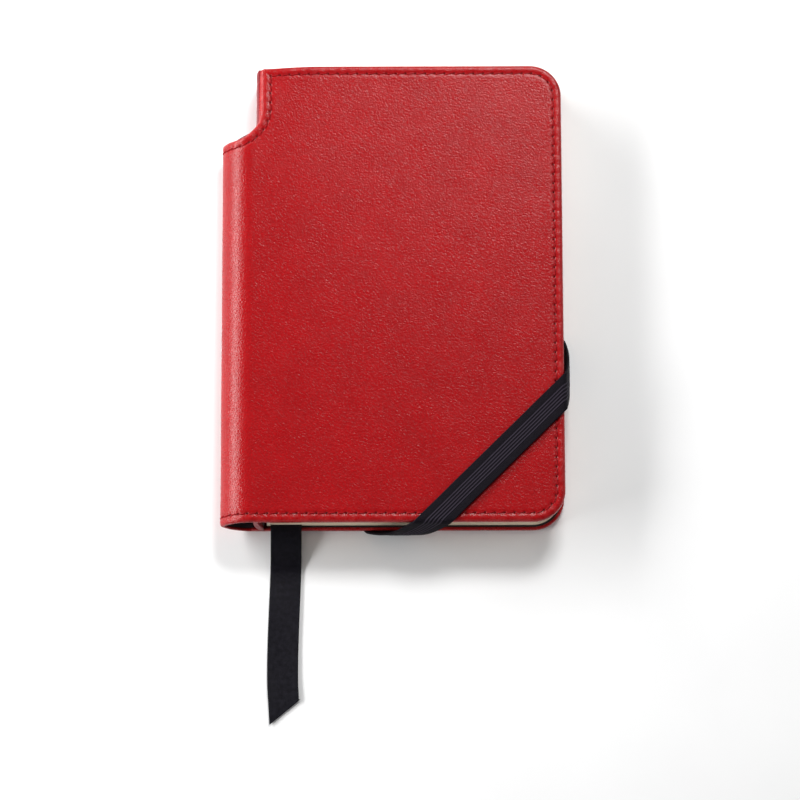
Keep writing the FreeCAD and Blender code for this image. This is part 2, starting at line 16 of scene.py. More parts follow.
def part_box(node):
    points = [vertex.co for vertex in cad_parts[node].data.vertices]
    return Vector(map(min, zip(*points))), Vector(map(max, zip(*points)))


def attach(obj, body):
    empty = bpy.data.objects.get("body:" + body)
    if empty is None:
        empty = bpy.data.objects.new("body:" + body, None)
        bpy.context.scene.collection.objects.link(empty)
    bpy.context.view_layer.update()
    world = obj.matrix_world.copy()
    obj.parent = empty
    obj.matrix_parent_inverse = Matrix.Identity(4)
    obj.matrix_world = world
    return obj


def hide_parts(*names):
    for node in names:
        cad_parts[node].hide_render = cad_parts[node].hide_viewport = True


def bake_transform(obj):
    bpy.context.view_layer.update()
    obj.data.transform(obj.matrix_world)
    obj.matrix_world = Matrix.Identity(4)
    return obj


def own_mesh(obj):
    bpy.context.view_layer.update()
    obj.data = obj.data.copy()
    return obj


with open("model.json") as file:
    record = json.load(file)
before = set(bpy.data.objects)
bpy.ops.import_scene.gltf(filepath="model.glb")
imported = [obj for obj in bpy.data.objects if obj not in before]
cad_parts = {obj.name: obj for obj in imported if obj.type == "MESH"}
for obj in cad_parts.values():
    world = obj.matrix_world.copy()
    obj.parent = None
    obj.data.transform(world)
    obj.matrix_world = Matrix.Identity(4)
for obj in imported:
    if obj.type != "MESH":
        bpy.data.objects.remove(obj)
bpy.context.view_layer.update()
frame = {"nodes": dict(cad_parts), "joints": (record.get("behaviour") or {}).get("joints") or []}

MM = 0.001
RNG = np.random.default_rng(7)


# ---------------- sizes from the frame and the photo

def box_mm(node):
    """A CAD node's lowest and highest corners, in millimetres."""
    low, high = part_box(node)
    return low / MM, high / MM


FRONT_LOW, FRONT_HIGH = box_mm("front_cover_leather")
WALL_LOW, WALL_HIGH = box_mm("spine_wall_leather")
FOLDS_LOW, FOLDS_HIGH = box_mm("text_block_folds")
HINGE = Vector(frame["joints"][0]["pos_m"]) / MM
FORE = 50.7
HEAD = 70.0
TOP = FRONT_HIGH.z
COVER = FRONT_HIGH.z - FRONT_LOW.z
LEATHER = 0.9
RIM = 0.8
CORNER = 9.4
BOARD_LEFT = box_mm("front_cover_board")[0].x

# pen sleeve: two arcs that meet in a rounded nose at mid height
SLEEVE_X = -41.2
SLEEVE_R = 10.1
SLEEVE_TOP = box_mm("pen_sleeve_leather")[1].z
NOSE_R = 2.0
SLEEVE_SKIN = LEATHER + 0.4
UNDER_X = -41.5

# notch at the head of the sleeve, in the flat leather
NOTCH_Y = 56.9
NOTCH_R = 9.6
NOTCH_SLOPE = math.radians(3)
NOTCH_VALLEY = 3.0
HEAD_CORNER = 1.2

# seam
SEAM_INSET = 2.5
PITCH = 2.9
THREAD_R = 0.17


# ---------------- mesh helpers

def add_object(name, data):
    """A new object in the scene."""
    obj = bpy.data.objects.new(name, data)
    bpy.context.scene.collection.objects.link(obj)
    return obj


def make_piece(name, points, faces, material, sharp=None, **values):
    """A mesh object from points in millimetres, with the numbers or vectors kept for each point."""
    mesh = bpy.data.meshes.new(name)
    mesh.from_pydata([tuple(p) for p in np.asarray(points) * MM], [], faces)
    for key, each in values.items():
        each = np.asarray(each, np.float32)
        kind, part = ("FLOAT_VECTOR", "vector") if each.ndim == 2 else ("FLOAT", "value")
        mesh.attributes.new(key, kind, "POINT").data.foreach_set(part, each.ravel())
    obj = add_object(name, mesh)
    mesh.materials.append(material)
    tidy_mesh(mesh)
    for polygon in mesh.polygons:
        polygon.use_smooth = True
    if sharp:
        mesh.set_sharp_from_angle(angle=math.radians(sharp))
    return obj


def tidy_mesh(mesh):
    """Joins doubled points, closes open edges and turns all faces outwards."""
    bm = bmesh.new()
    bm.from_mesh(mesh)
    bmesh.ops.remove_doubles(bm, verts=bm.verts, dist=1e-6)
    open_edges = [edge for edge in bm.edges if edge.is_boundary]
    if open_edges:
        bmesh.ops.holes_fill(bm, edges=open_edges, sides=0)
    bmesh.ops.recalc_face_normals(bm, faces=bm.faces)
    bm.to_mesh(mesh)
    bm.free()


def grid_faces(rows, columns, wrap_rows=False, wrap_columns=False, start=0):
    """Quads of a grid of points, stored row after row."""
    faces = []
    for i in range(rows if wrap_rows else rows - 1):
        for j in range(columns if wrap_columns else columns - 1):
            k, m = (i + 1) % rows, (j + 1) % columns
            faces.append((start + i * columns + j, start + i * columns + m,
                          start + k * columns + m, start + k * columns + j))
    return faces


def smooth_step(value, low, high):
    """0 below low, 1 above high, and an even curve between."""
    t = np.clip((np.asarray(value, float) - low) / (high - low), 0, 1)
    return t * t * (3 - 2 * t)


def arc_points(centre, radius, start, end, count):
    """Points along an arc, both ends included, angles in radians."""
    angles = np.linspace(start, end, count)
    return np.column_stack([centre[0] + radius * np.cos(angles), centre[1] + radius * np.sin(angles)])


def line_points(start, end, count):
    """Evenly spaced points along a line, both ends included."""
    return np.linspace(np.asarray(start, float), np.asarray(end, float), count)


def run_along(line):
    """The distance run along a line at each of its points."""
    return np.concatenate([[0], np.cumsum(np.linalg.norm(np.diff(line, axis=0), axis=1))])


def bell(off, width):
    """1 at no offset, falling to nothing within a few widths."""
    return np.exp(-(off / width) ** 2)


def end_caps(start, rows, columns):
    """The two faces that close a tube of points stored row after row."""
    last = start + (rows - 1) * columns
    return [tuple(range(start, start + columns)), tuple(range(last, last + columns))]


def waves(points, size, seed):
    """Smooth noise from -1 to 1 at each point, for folds of about that size."""
    shift = Vector((seed * 17.3, seed * 5.1, seed * 9.7))
    return np.array([noise.noise(Vector(p) / size + shift) for p in points])


# ---------------- the leather's bent shape

# the profile starts past the fore edge, and the head of the sleeve's skin pulls in and drops by this
PROFILE_START = FORE + 2
HEAD_SAG = 0.5


def case_profile():
    """The outer face's profile (x, z): over the front, round the sleeve's nose and under it."""
    droop_from = HINGE.x + 16
    flat_x = np.arange(PROFILE_START, SLEEVE_X, -0.1)
    flat_z = TOP - (TOP - SLEEVE_TOP) * smooth_step(-flat_x, -droop_from, -SLEEVE_X)
    middle = SLEEVE_TOP / 2
    upper = (SLEEVE_X, SLEEVE_TOP - SLEEVE_R)
    lower = (SLEEVE_X, SLEEVE_R)
    reach = math.sqrt((SLEEVE_R - NOSE_R) ** 2 - (middle - upper[1]) ** 2)
    turn = math.atan2(middle - upper[1], -reach)
    step = math.radians(0.5)
    round_count = int((turn - math.pi / 2) / step)
    nose_count = int((math.pi - turn) * 2 / step)
    over = arc_points(upper, SLEEVE_R, math.pi / 2, turn, round_count)
    nose = arc_points((SLEEVE_X - reach, middle), NOSE_R, turn, 2 * math.pi - turn, nose_count)
    under = arc_points(lower, SLEEVE_R, 2 * math.pi - turn, 1.5 * math.pi, round_count)
    underside = line_points((SLEEVE_X + 0.1, 0), (HINGE.x, 0), 20)
    parts = [np.column_stack([flat_x, flat_z]), over, nose[1:], under[1:], underside]
    return np.vstack(parts)


PROFILE = case_profile()
PROFILE_RUN = run_along(PROFILE)
PROFILE_SLOPE = np.gradient(PROFILE, PROFILE_RUN, axis=0)
NOSE_U = PROFILE_START - PROFILE_RUN[np.argmin(PROFILE[:, 0])]
UNDER_U = PROFILE_START - PROFILE_RUN[np.nonzero((PROFILE[:, 0] <= UNDER_X) & (PROFILE[:, 1] < 3))[0][-1]]


def on_front(u, v, h):
    """Where a point of the flat leather lies on the front and the sleeve. h is its height above."""
    run = PROFILE_START - u
    x = np.interp(run, PROFILE_RUN, PROFILE[:, 0])
    z = np.interp(run, PROFILE_RUN, PROFILE[:, 1])
    along_x = np.interp(run, PROFILE_RUN, PROFILE_SLOPE[:, 0])
    along_z = np.interp(run, PROFILE_RUN, PROFILE_SLOPE[:, 1])
    length = np.hypot(along_x, along_z)
    pulled_in = HEAD_SAG * smooth_step(-u, 22, 38) * smooth_step(v, 60, 70) * (u > SLEEVE_X)
    dropped = HEAD_SAG * smooth_step(-u, 30, 39) * smooth_step(v, 56, 70) * (u > SLEEVE_X)
    return np.column_stack([x + h * along_z / length, v - pulled_in, z - h * along_x / length - dropped])


def on_back(u, v, h):
    """Where a point of the flat leather lies on the back cover, whose outer face looks down."""
    return np.column_stack([u, v, -h])


# ---------------- the leather's outline

def outline(inset, stop):
    """The leather's outline moved in by inset, from the foot at u = stop round to the notch there.

    Gives one array of points for each stretch: foot, corner, fore edge, corner, head, head corner,
    notch side, notch arc and, when the leather goes round the sleeve, the rest of the notch.
    """
    small = max(HEAD_CORNER, inset)
    small_r = max(small - inset, 0.0)
    round_r = CORNER - inset
    right = math.pi / 2
    notch_c = (HINGE.x - NOTCH_R, NOTCH_Y)
    notch_r = NOTCH_R + inset
    end_angle = -(right - NOTCH_SLOPE)
    wraps = stop < NOSE_U
    if not wraps:
        end_angle = -math.acos((stop - notch_c[0]) / notch_r)
    pieces = [
        line_points((stop, inset - HEAD), (FORE - CORNER, inset - HEAD), COUNTS["foot"][wraps]),
        arc_points((FORE - CORNER, CORNER - HEAD), round_r, -right, 0, COUNTS["corner"]),
        line_points((FORE - inset, CORNER - HEAD), (FORE - inset, HEAD - CORNER), COUNTS["fore"]),
        arc_points((FORE - CORNER, HEAD - CORNER), round_r, 0, right, COUNTS["corner"]),
        line_points((FORE - CORNER, HEAD - inset), (HINGE.x + small, HEAD - inset), COUNTS["head"]),
        arc_points((HINGE.x + small, HEAD - small), small_r, right, math.pi, COUNTS["small"]),
        line_points((HINGE.x + inset, HEAD - small), (HINGE.x + inset, NOTCH_Y), COUNTS["side"]),
        arc_points(notch_c, notch_r, 0, end_angle, COUNTS["notch"]),
    ]
    if wraps:
        turn = pieces[-1][-1]
        valley_c, valley_r = valley(inset)
        valley_end = -math.pi - end_angle
        pieces.append(line_points(turn, valley_c + valley_r * direction(end_angle), COUNTS["slope"]))
        pieces.append(arc_points(valley_c, valley_r, end_angle, valley_end, COUNTS["valley"]))
        far_c = (2 * NOSE_U - notch_c[0], NOTCH_Y)
        far_start = np.array(far_c) + notch_r * direction(valley_end)
        far_angle = -math.pi + math.acos((far_c[0] - stop) / notch_r)
        pieces.append(line_points(pieces[-1][-1], far_start, COUNTS["slope"]))
        pieces.append(arc_points(far_c, notch_r, valley_end, far_angle, COUNTS["notch"] // 2))
    return pieces


def direction(angle):
    """The unit vector at an angle in radians."""
    return np.array([math.cos(angle), math.sin(angle)])


def valley(inset):
    """Centre and radius of the notch's lowest stretch, round the sleeve's nose."""
    side = np.array([math.sin(NOTCH_SLOPE), -math.cos(NOTCH_SLOPE)])
    start = np.array([HINGE.x - NOTCH_R, NOTCH_Y]) + NOTCH_R * side
    run = (start[0] - NOSE_U - NOTCH_VALLEY * side[0]) / math.cos(NOTCH_SLOPE)
    foot_y = start[1] - run * math.sin(NOTCH_SLOPE)
    return np.array([NOSE_U, foot_y - NOTCH_VALLEY * side[1]]), NOTCH_VALLEY + inset


SPACING = 0.3
COUNTS = {
    "foot": {False: int((FORE - UNDER_X) / SPACING), True: int((FORE - UNDER_U) / SPACING)},
    "corner": int((CORNER - SEAM_INSET) * 1.57 / SPACING),
    "fore": int(2 * (HEAD - CORNER) / SPACING),
    "head": int((FORE - HINGE.x - CORNER) / SPACING),
    "small": 7,
    "side": int((HEAD - NOTCH_Y) / SPACING),
    "notch": int((NOTCH_R + SEAM_INSET) * 1.22 / SPACING),
    "slope": int(6 / SPACING),
    "valley": int(2.5 / SPACING),
}

# places in the outline's list of stretches: the first seam ends before the head corner
SEAM_STRETCHES = 5
HEAD_CORNER_AT, NOTCH_SIDE_AT, NOTCH_ARC_AT = 5, 6, 7


def joined(pieces):
    """The stretches of an outline as one run of points, without the doubled ends."""
    return np.concatenate([pieces[0]] + [piece[1:] for piece in pieces[1:]])


def seam_phase(stop):
    """For each point of the outline, how far along its seam it is, counted in stitches."""
    pieces = outline(SEAM_INSET, stop)
    first = joined(pieces[:SEAM_STRETCHES])
    rest = joined(pieces[SEAM_STRETCHES:])
    phases, pitches = [], []
    for part in (first, rest):
        run = run_along(part)
        count = max(1, round(run[-1] / PITCH))
        phases.append(run / run[-1] * count)
        pitches.append(np.full(len(run), run[-1] / count))
    phase = np.concatenate([phases[0], phases[0][-1] + phases[1][1:]])
    return phase, np.concatenate([pitches[0], pitches[1][1:]])


def skin_thickness(u, wraps):
    """The lip's whole thickness: a full cover, or only the sleeve's skin and lining."""
    if not wraps:
        return np.full(len(u), COVER)
    return SLEEVE_SKIN + (COVER - SLEEVE_SKIN) * smooth_step(u, HINGE.x, BOARD_LEFT)


def relief(points, inset, phase, pitch):
    """A ring's height, and how deep in the seam it is, which sets the painted shade of the holes and groove:
    the groove, its holes and the padded rim.
    """
    off = inset - SEAM_INSET
    to_hole = (phase - np.round(phase)) * pitch
    groove = 0.08 * bell(off, 0.5)
    pull = 0.09 * bell(to_hole, 0.55) * bell(off, 0.6)
    hole = bell(to_hole, 0.24) * bell(off, 0.24)
    rim = 0.07 * bell(inset - 1.35, 0.55) + 0.02 * bell(off - 1.2, 0.6)
    ripple = 0.035 * np.cos(2 * math.pi * phase) * bell(inset - 1.3, 0.7)
    # painted shade: full in the stitch holes, a little along the groove
    sunk = np.clip(hole * 1.3 + 0.25 * bell(off, 0.3), 0, 1)
    return rim - ripple - groove - pull - 0.5 * hole + lie(points), sunk


def lie(points):
    """The slow unevenness of the whole skin."""
    flat = np.column_stack([points, np.zeros(len(points))])
    return 0.05 * waves(flat, 21, 1) + 0.02 * waves(flat, 7, 2)


RING_INSETS = (0.95, 1.2, 1.5, 1.8, 2.05, 2.2, 2.35, 2.5, 2.65, 2.8, 2.95, 3.2, 3.55, 4.1, 5.0, 6.2)
ROLL_TOP = 0.75
ROLL_UNDER = 0.35
LINING_INSET = RIM + 0.05

# the fold down to the wall, which gives way to the lip from 1.5 to 6 mm below its end
FOLD_END_Y = 57.6
FOLD_OUT = 1.0
FOLD_DEEP = 2.0
FOLD_UNDER = ((-0.2, 2.05), (-0.6, 2.1), (-0.9, 2.1), (-1.0, 2.0))


def lip_rings(thickness):
    """The rolled edge, from its inner end round to the face: (inset, depth) free and folded to the wall."""
    one = np.ones(len(thickness))
    free = [(LINING_INSET, LEATHER * one), (LINING_INSET, thickness)]
    folded = [(LINING_INSET, LEATHER), (LINING_INSET, 2.0)] + list(FOLD_UNDER)
    for angle in np.radians((90, 60, 30, 0)):
        free.append((ROLL_UNDER * (1 - math.cos(angle)), thickness - ROLL_UNDER * (1 - math.sin(angle))))
    for number, angle in enumerate(np.radians((90, 68, 45, 22))):
        free.append((ROLL_TOP * (1 - math.sin(angle)), ROLL_TOP * (1 - math.cos(angle)) * one))
        turn = math.radians(72 - 18 * number)
        folded.append((ROLL_TOP - (ROLL_TOP + FOLD_OUT) * math.sin(turn), FOLD_DEEP * (1 - math.cos(turn))))
    return list(zip(free, folded))


def fold_share(stop):
    """For each point of the outline, how far it folds down to the wall instead of ending in a lip."""
    pieces = outline(0, stop)
    shares = [np.zeros(len(piece)) for piece in pieces]
    shares[HEAD_CORNER_AT] = np.linspace(0, 1, len(pieces[HEAD_CORNER_AT]))
    shares[NOTCH_SIDE_AT][:] = 1
    shares[NOTCH_ARC_AT] = 1 - smooth_step(FOLD_END_Y - pieces[NOTCH_ARC_AT][:, 1], 1.5, 6.0)
    return joined(shares)


# the dents fade out by this depth below the face
DENT_FADE = 1.1
GRID_MARGIN = 0.35
SLEEVE_SPACING = 0.7


class Skin:
    """The leather of one cover: rings along its outline, and even triangles inside them."""

    def __init__(self, stop, place, dents=None):
        self.stop, self.place, self.dents = stop, place, dents
        self.points, self.faces, self.flats, self.edges, self.sunk = [], [], [], [], []

    def add(self, plan, height, edge=0.0, sunk=0.0):
        """Adds points of the flat leather at a height above its face."""
        if self.dents:
            height = height - self.dents(plan) * np.clip(1 + height / DENT_FADE, 0, 1)
        self.points.extend(self.place(plan[:, 0], plan[:, 1], height))
        self.flats.extend(np.column_stack([plan, height]) * MM)
        self.edges.extend(np.full(len(plan), edge))
        self.sunk.extend(np.full(len(plan), sunk) if np.isscalar(sunk) else sunk)

    def add_rings(self):
        """The lip and the border with its seam."""
        phase, pitch = seam_phase(self.stop)
        edge = joined(outline(0, self.stop))
        thickness = skin_thickness(edge[:, 0], self.stop < NOSE_U)
        count, rings = len(edge), 0
        share = fold_share(self.stop)
        for number, ((inset, depth), (fold_inset, fold_depth)) in enumerate(lip_rings(thickness)):
            free, folded = joined(outline(inset, self.stop)), joined(outline(fold_inset, self.stop))
            ring = free + (folded - free) * share[:, None]
            depth = depth + (fold_depth - depth) * share
            self.add(ring, lie(free) * 0.5 - depth, edge=1.0 if number > 2 else 0.4)
            rings += 1
        for inset in RING_INSETS:
            ring = joined(outline(inset, self.stop))
            height, sunk = relief(ring, inset, phase, pitch)
            self.add(ring, height, edge=float(1 - smooth_step(inset, 0.6, 1.9)), sunk=sunk)
            rings += 1
        self.faces.extend(grid_faces(rings, count))
        return count, rings

    def fill(self, ring, ring_start, spacing, depth):
        """Fills the space inside a ring with triangles over an even grid of new points."""
        low, high = ring.min(0), ring.max(0)
        u_values = np.arange(low[0] + spacing * 0.7, high[0], spacing)
        if low[0] < SLEEVE_X - 2:
            fine = np.arange(low[0] + 0.4, SLEEVE_X + 2, min(SLEEVE_SPACING, spacing))
            u_values = np.concatenate([fine, u_values[u_values > fine[-1] + 0.3 * spacing]])
        v_values = np.arange(low[1] + spacing * 0.7, high[1], spacing)
        grid = np.array([(u, v) for u in u_values for v in v_values])
        grid = grid[inside(grid, ring, GRID_MARGIN)]
        flat = [Vector(p) for p in np.vstack([ring, grid])]
        result = delaunay_2d_cdt(flat, [], [tuple(range(len(ring)))], 1, 1e-7)
        triangles, origins = result[2], result[3]
        shift = len(self.points) - len(ring)
        index = [min(o for o in origin) for origin in origins]
        index = [ring_start + i if i < len(ring) else shift + i for i in index]
        self.add(grid, lie(grid) * (1.0 if depth == 0 else 0.5) - depth)
        self.faces.extend(tuple(index[i] for i in triangle) for triangle in triangles)

    def make(self, name, material, spacing):
        """The finished piece."""
        count, rings = self.add_rings()
        self.fill(joined(outline(RING_INSETS[-1], self.stop)), (rings - 1) * count, spacing, 0)
        self.fill(joined(outline(LINING_INSET, self.stop)), 0, 3.0, LEATHER)
        return make_piece(name, self.points, self.faces, material,
                          flat=self.flats, edge=self.edges, sunk=self.sunk)


def inside(grid, ring, margin):
    """Which grid points are inside a ring and more than a margin from it."""
    x, y = grid[:, 0][:, None], grid[:, 1][:, None]
    x1, y1 = ring[:, 0], ring[:, 1]
    x2, y2 = np.roll(x1, -1), np.roll(y1, -1)
    crosses = (y1 > y) != (y2 > y)
    with np.errstate(divide="ignore", invalid="ignore"):
        at = (x2 - x1) * (y - y1) / (y2 - y1) + x1
    odd = (np.where(crosses, x < at, False).sum(1) % 2) == 1
    near = np.min(np.hypot(x - x1, y - y1), axis=1) < margin
    return odd & ~near


# ---------------- material nodes

class Nodes:
    """A short way to fill a material's node tree."""

    def __init__(self, name, attribute=None):
        self.material = bpy.data.materials.new(name)
        self.material.use_nodes = True
        self.tree = self.material.node_tree
        self.tree.nodes.clear()
        self.shader = self.add("BsdfPrincipled")
        out = self.add("OutputMaterial")
        self.tree.links.new(self.shader.outputs[0], out.inputs["Surface"])
        self.where = self.place(attribute)

    def add(self, kind, settings=None, **inputs):
        """A node of a kind, with its settings, and its inputs given as numbers or other nodes' outputs."""
        node = self.tree.nodes.new("ShaderNode" + kind)
        for key, value in (settings or {}).items():
            setattr(node, key, value)
        self.put(node, **inputs)
        return node

    def put(self, node, **inputs):
        """Sets or links a node's inputs. Underscores in their names stand for spaces."""
        for key, value in inputs.items():
            socket = node.inputs[int(key[1:])] if key[0] == "i" and key[1:].isdigit() \
                else node.inputs[key.replace("_", " ")]
            if isinstance(value, bpy.types.NodeSocket):
                self.tree.links.new(value, socket)
            else:
                socket.default_value = value

    def place(self, attribute=None):
        """Where a point is: in the piece's own flat coordinates, or in the frame's."""
        if attribute:
            return self.add("Attribute", {"attribute_name": attribute}).outputs["Vector"]
        return self.add("TexCoord").outputs["Object"]

    def value(self, attribute):
        """A number kept on the mesh."""
        return self.add("Attribute", {"attribute_name": attribute}).outputs["Fac"]

    def noise(self, size, detail=3.0, roughness=0.5, distortion=0.0, at=None):
        """Noise with features of a size in metres, over the piece or over another place."""
        node = self.add("TexNoise", Vector=at or self.where, Scale=1 / size, Detail=detail,
                        Roughness=roughness, Distortion=distortion)
        return node.outputs["Fac"]

    def stretched(self, share):
        """The place, with patterns drawn out along y by one over a share."""
        return self.add("Mapping", Vector=self.where, Scale=(1.0, share, 1.0)).outputs[0]

    def math(self, operation, first, second=0.5):
        """One arithmetic operation on one or two values."""
        return self.add("Math", {"operation": operation}, i0=first, i1=second).outputs[0]

    def times(self, first, second):
        """Two values multiplied."""
        return self.math("MULTIPLY", first, second)

    def plus(self, first, second):
        """Two values added."""
        return self.math("ADD", first, second)

    def wave(self, value, length):
        """A sine wave of a length along a value."""
        return self.math("SINE", self.times(value, 2 * math.pi / length))

    def ramp(self, fac, low, high, to_low=0.0, to_high=1.0):
        """Maps a range of values to another, clamped."""
        node = self.add("MapRange", Value=fac, i1=low, i2=high, i3=to_low, i4=to_high)
        return node.outputs[0]

    def mix(self, fac, first, second):
        """Mixes two colours."""
        return self.add("Mix", {"data_type": "RGBA"}, i0=fac, i6=first, i7=second).outputs[2]

    def done(self, base, roughness, specular, height, depth, **more):
        """The material, with its shader filled and a bump of a depth in metres."""
        bump = self.add("Bump", Height=height, Distance=depth, Strength=1.0).outputs[0]
        self.put(self.shader, Base_Color=base, Roughness=roughness, Specular_IOR_Level=specular,
                 Normal=bump, **more)
        return self.material


def linear(red, green, blue):
    """A linear colour from its 0 to 255 display values."""
    def one(value):
        value /= 255
        return value / 12.92 if value <= 0.04045 else ((value + 0.055) / 1.055) ** 2.4
    return (one(red), one(green), one(blue), 1.0)


def shade(colour, share):
    """A colour at a share of its brightness."""
    return tuple(c * share for c in colour[:3]) + (1.0,)


def leather_material(name, colour, dark, grain=1.0, rough=(0.255, 0.29)):
    """Pebbled calf leather: soft cells with fine creases between them, mottled dye and worn edges, with
    painted shade in the creases and in the seam's holes and groove.
    """
    n = Nodes(name, "flat")
    warp = n.add("TexNoise", Vector=n.where, Scale=900, Detail=0.0)
    moved = n.add("VectorMath", {"operation": "MULTIPLY_ADD"}, i0=warp.outputs["Color"],
                  i1=(0.00015, 0.00015, 0.00015), i2=n.where).outputs[0]
    cells = n.add("TexVoronoi", {"feature": "SMOOTH_F1"}, Vector=moved, Scale=1 / 0.00046,
                  Smoothness=0.5, Randomness=1.0).outputs["Distance"]
    cracks = n.add("TexVoronoi", {"feature": "DISTANCE_TO_EDGE"}, Vector=moved, Scale=1 / 0.00085,
                   Randomness=1.0).outputs["Distance"]
    crease = n.ramp(cracks, 0.0, 0.16)
    fine = n.noise(0.00022, 2.0)
    pebble = n.plus(n.times(n.math("SUBTRACT", 1.0, cells), 0.55), n.times(crease, 0.5))
    swell = n.times(n.noise(0.00064, 1.0), 1.25)
    surface = n.plus(n.plus(pebble, swell), n.times(fine, 0.28))
    mottle = n.noise(0.011, 4.0, 0.6)
    cloud = n.noise(0.045, 2.0, 0.5)
    base = n.mix(n.ramp(mottle, 0.3, 0.7), colour, shade(colour, 0.86))
    base = n.mix(n.ramp(cloud, 0.35, 0.68, 0.0, 0.14), base, dark)
    # painted shade: darker down in the grain's creases
    base = n.mix(n.ramp(crease, 0.0, 0.7, 0.34, 0.0), base, dark)
    base = n.mix(n.ramp(n.noise(0.0009, 2.0, 0.6), 0.38, 0.62, 0.0, 0.3), base, dark)
    sunk = n.value("sunk")
    scuffs = n.times(n.value("edge"), n.ramp(n.noise(0.0022, 4.0, 0.7), 0.42, 0.66))
    base = n.mix(n.times(scuffs, 0.3), base, linear(196, 60, 60))
    # painted shade in the seam's holes and groove, and in the wall's head crease
    base = n.mix(n.times(sunk, 0.75), base, shade(dark, 0.4))
    gloss = n.ramp(n.noise(0.006, 2.0, 0.5), 0.2, 0.8, *rough)
    gloss = n.plus(gloss, n.times(sunk, 0.3))
    gloss = n.plus(gloss, n.ramp(crease, 0.0, 1.0, 0.04, 0.0))
    return n.done(base, gloss, 0.32, surface, 0.000045 * grain, IOR=1.48)


def fibre_material(name, colour, dark, scale=1.0):
    """Paper or card: faint fibres, cloudy tone and a soft matt surface."""
    n = Nodes(name)
    fibres = n.noise(0.00035 * scale, 5.0, 0.65, 0.6, at=n.stretched(0.35))
    cloud = n.noise(0.009 * scale, 3.0)
    base = n.mix(n.ramp(cloud, 0.3, 0.7, 0.0, 0.6), colour, dark)
    base = n.mix(n.ramp(fibres, 0.35, 0.72, 0.22, 0.0), base, dark)
    return n.done(base, n.ramp(fibres, 0.3, 0.7, 0.67, 0.83), 0.3, fibres, 0.00002)


def leaf_material(name, colour, dark):
    """The paper of the sections: fibres, and a tone that differs a little from leaf to leaf."""
    n = Nodes(name)
    fibres = n.noise(0.00025, 4.0, 0.6, 0.4)
    base = n.mix(n.value("tone"), colour, dark)
    base = n.mix(n.ramp(fibres, 0.3, 0.7, 0.16, 0.0), base, dark)
    base = n.mix(n.ramp(n.noise(0.02, 3.0), 0.35, 0.7, 0.0, 0.3), base, dark)
    return n.done(base, n.ramp(fibres, 0.3, 0.7, 0.62, 0.78), 0.25, fibres, 0.000012)


def woven_material(name, colour, light, at, pitch, across=1.0, rough=(0.5, 0.7), sheen=0.3, depth=0.5,
                   shine=0.4):
    """Cloth: crossing threads of a pitch in metres, with slubs, a slight sheen and painted shade between the
    threads.
    """
    n = Nodes(name, at)
    x, y, _ = n.add("SeparateXYZ", Vector=n.where).outputs
    warp = n.wave(x, pitch)
    weft = n.wave(y, pitch * across)
    over = n.times(warp, weft)
    warp_up = n.times(n.math("ABSOLUTE", warp), n.ramp(over, -1, 1))
    weft_up = n.times(n.math("ABSOLUTE", weft), n.ramp(over, 1, -1))
    threads = n.ramp(n.plus(warp_up, weft_up), 0.0, 1.2)
    slub = n.noise(pitch * 3.5, 4.0, 0.65)
    fuzz = n.noise(pitch * 0.35, 2.0)
    height = n.plus(n.times(threads, 0.8), n.times(fuzz, 0.2))
    # painted shade: darker where the threads dip between crossings
    base = n.mix(n.ramp(threads, 0.15, 0.85), shade(colour, 0.45), colour)
    base = n.mix(n.ramp(slub, 0.4, 0.75, 0.0, 0.6), base, light)
    return n.done(base, n.ramp(slub, 0.3, 0.7, *rough), shine, height, pitch * depth,
                  Sheen_Weight=sheen, Sheen_Roughness=0.4)


def thread_material(name, colour, light):
    """Waxed polyester thread: fine filaments along the ply and a soft shine."""
    n = Nodes(name, "flat")
    filaments = n.noise(0.00007, 3.0, 0.6, at=n.stretched(0.12))
    patch = n.noise(0.004, 2.0)
    base = n.mix(n.ramp(filaments, 0.3, 0.7), colour, light)
    base = n.mix(n.ramp(patch, 0.35, 0.7, 0.0, 0.35), base, colour)
    return n.done(base, n.ramp(filaments, 0.3, 0.7, 0.6, 0.8), 0.08, filaments, 0.00001)


def floor_material():
    """Seamless studio paper, near white."""
    n = Nodes("studio_paper")
    tone = n.noise(0.05, 3.0)
    grain = n.noise(0.0008, 3.0)
    base = n.mix(n.ramp(tone, 0.3, 0.7), linear(246, 246, 246), linear(250, 250, 250))
    n.put(n.shader, Base_Color=base, Roughness=n.ramp(grain, 0.3, 0.7, 0.85, 0.95), Specular_IOR_Level=0.1)
    return n.material


# ---------------- threads

def tube(points, faces, flats, path, across, up, sides=8):
    """Adds a two-ply thread along a path, whose section turns as the ply does."""
    start = len(points)
    run = run_along(path)
    for i, centre in enumerate(path):
        for k in range(sides):
            angle = 2 * math.pi * k / sides
            lobe = 0.66 + 0.34 * abs(math.cos(angle - math.pi * run[i] / THREAD_PLY))
            shrink = 0.55 if i in (0, len(path) - 1) else 1.0
            reach = THREAD_R * lobe * shrink
            points.append(centre + reach * (math.cos(angle) * across + math.sin(angle) * up[i]))
            flats.append((k * 0.0001, run[i] * MM, start * 0.001))
    count = len(path)
    faces.extend(grid_faces(count, sides, wrap_columns=True, start=start))
    faces.append(tuple(start + k for k in range(sides))[::-1])
    faces.append(tuple(start + (count - 1) * sides + k for k in range(sides)))


STITCH_STEPS = np.array([0.0, 0.05, 0.12, 0.22, 0.36, 0.5, 0.64, 0.78, 0.88, 0.95, 1.0])
# the same steps counted from -1 to 1, and how far the thread dives into its holes at each
STITCH_WAY = 2 * STITCH_STEPS - 1
STITCH_DIVE = np.abs(STITCH_WAY) ** 7
THREAD_PLY = 0.62


def stitch_at(number):
    """Where a stitch's points are along the seam, counted in stitches."""
    return number + 0.06 + 0.88 * STITCH_STEPS


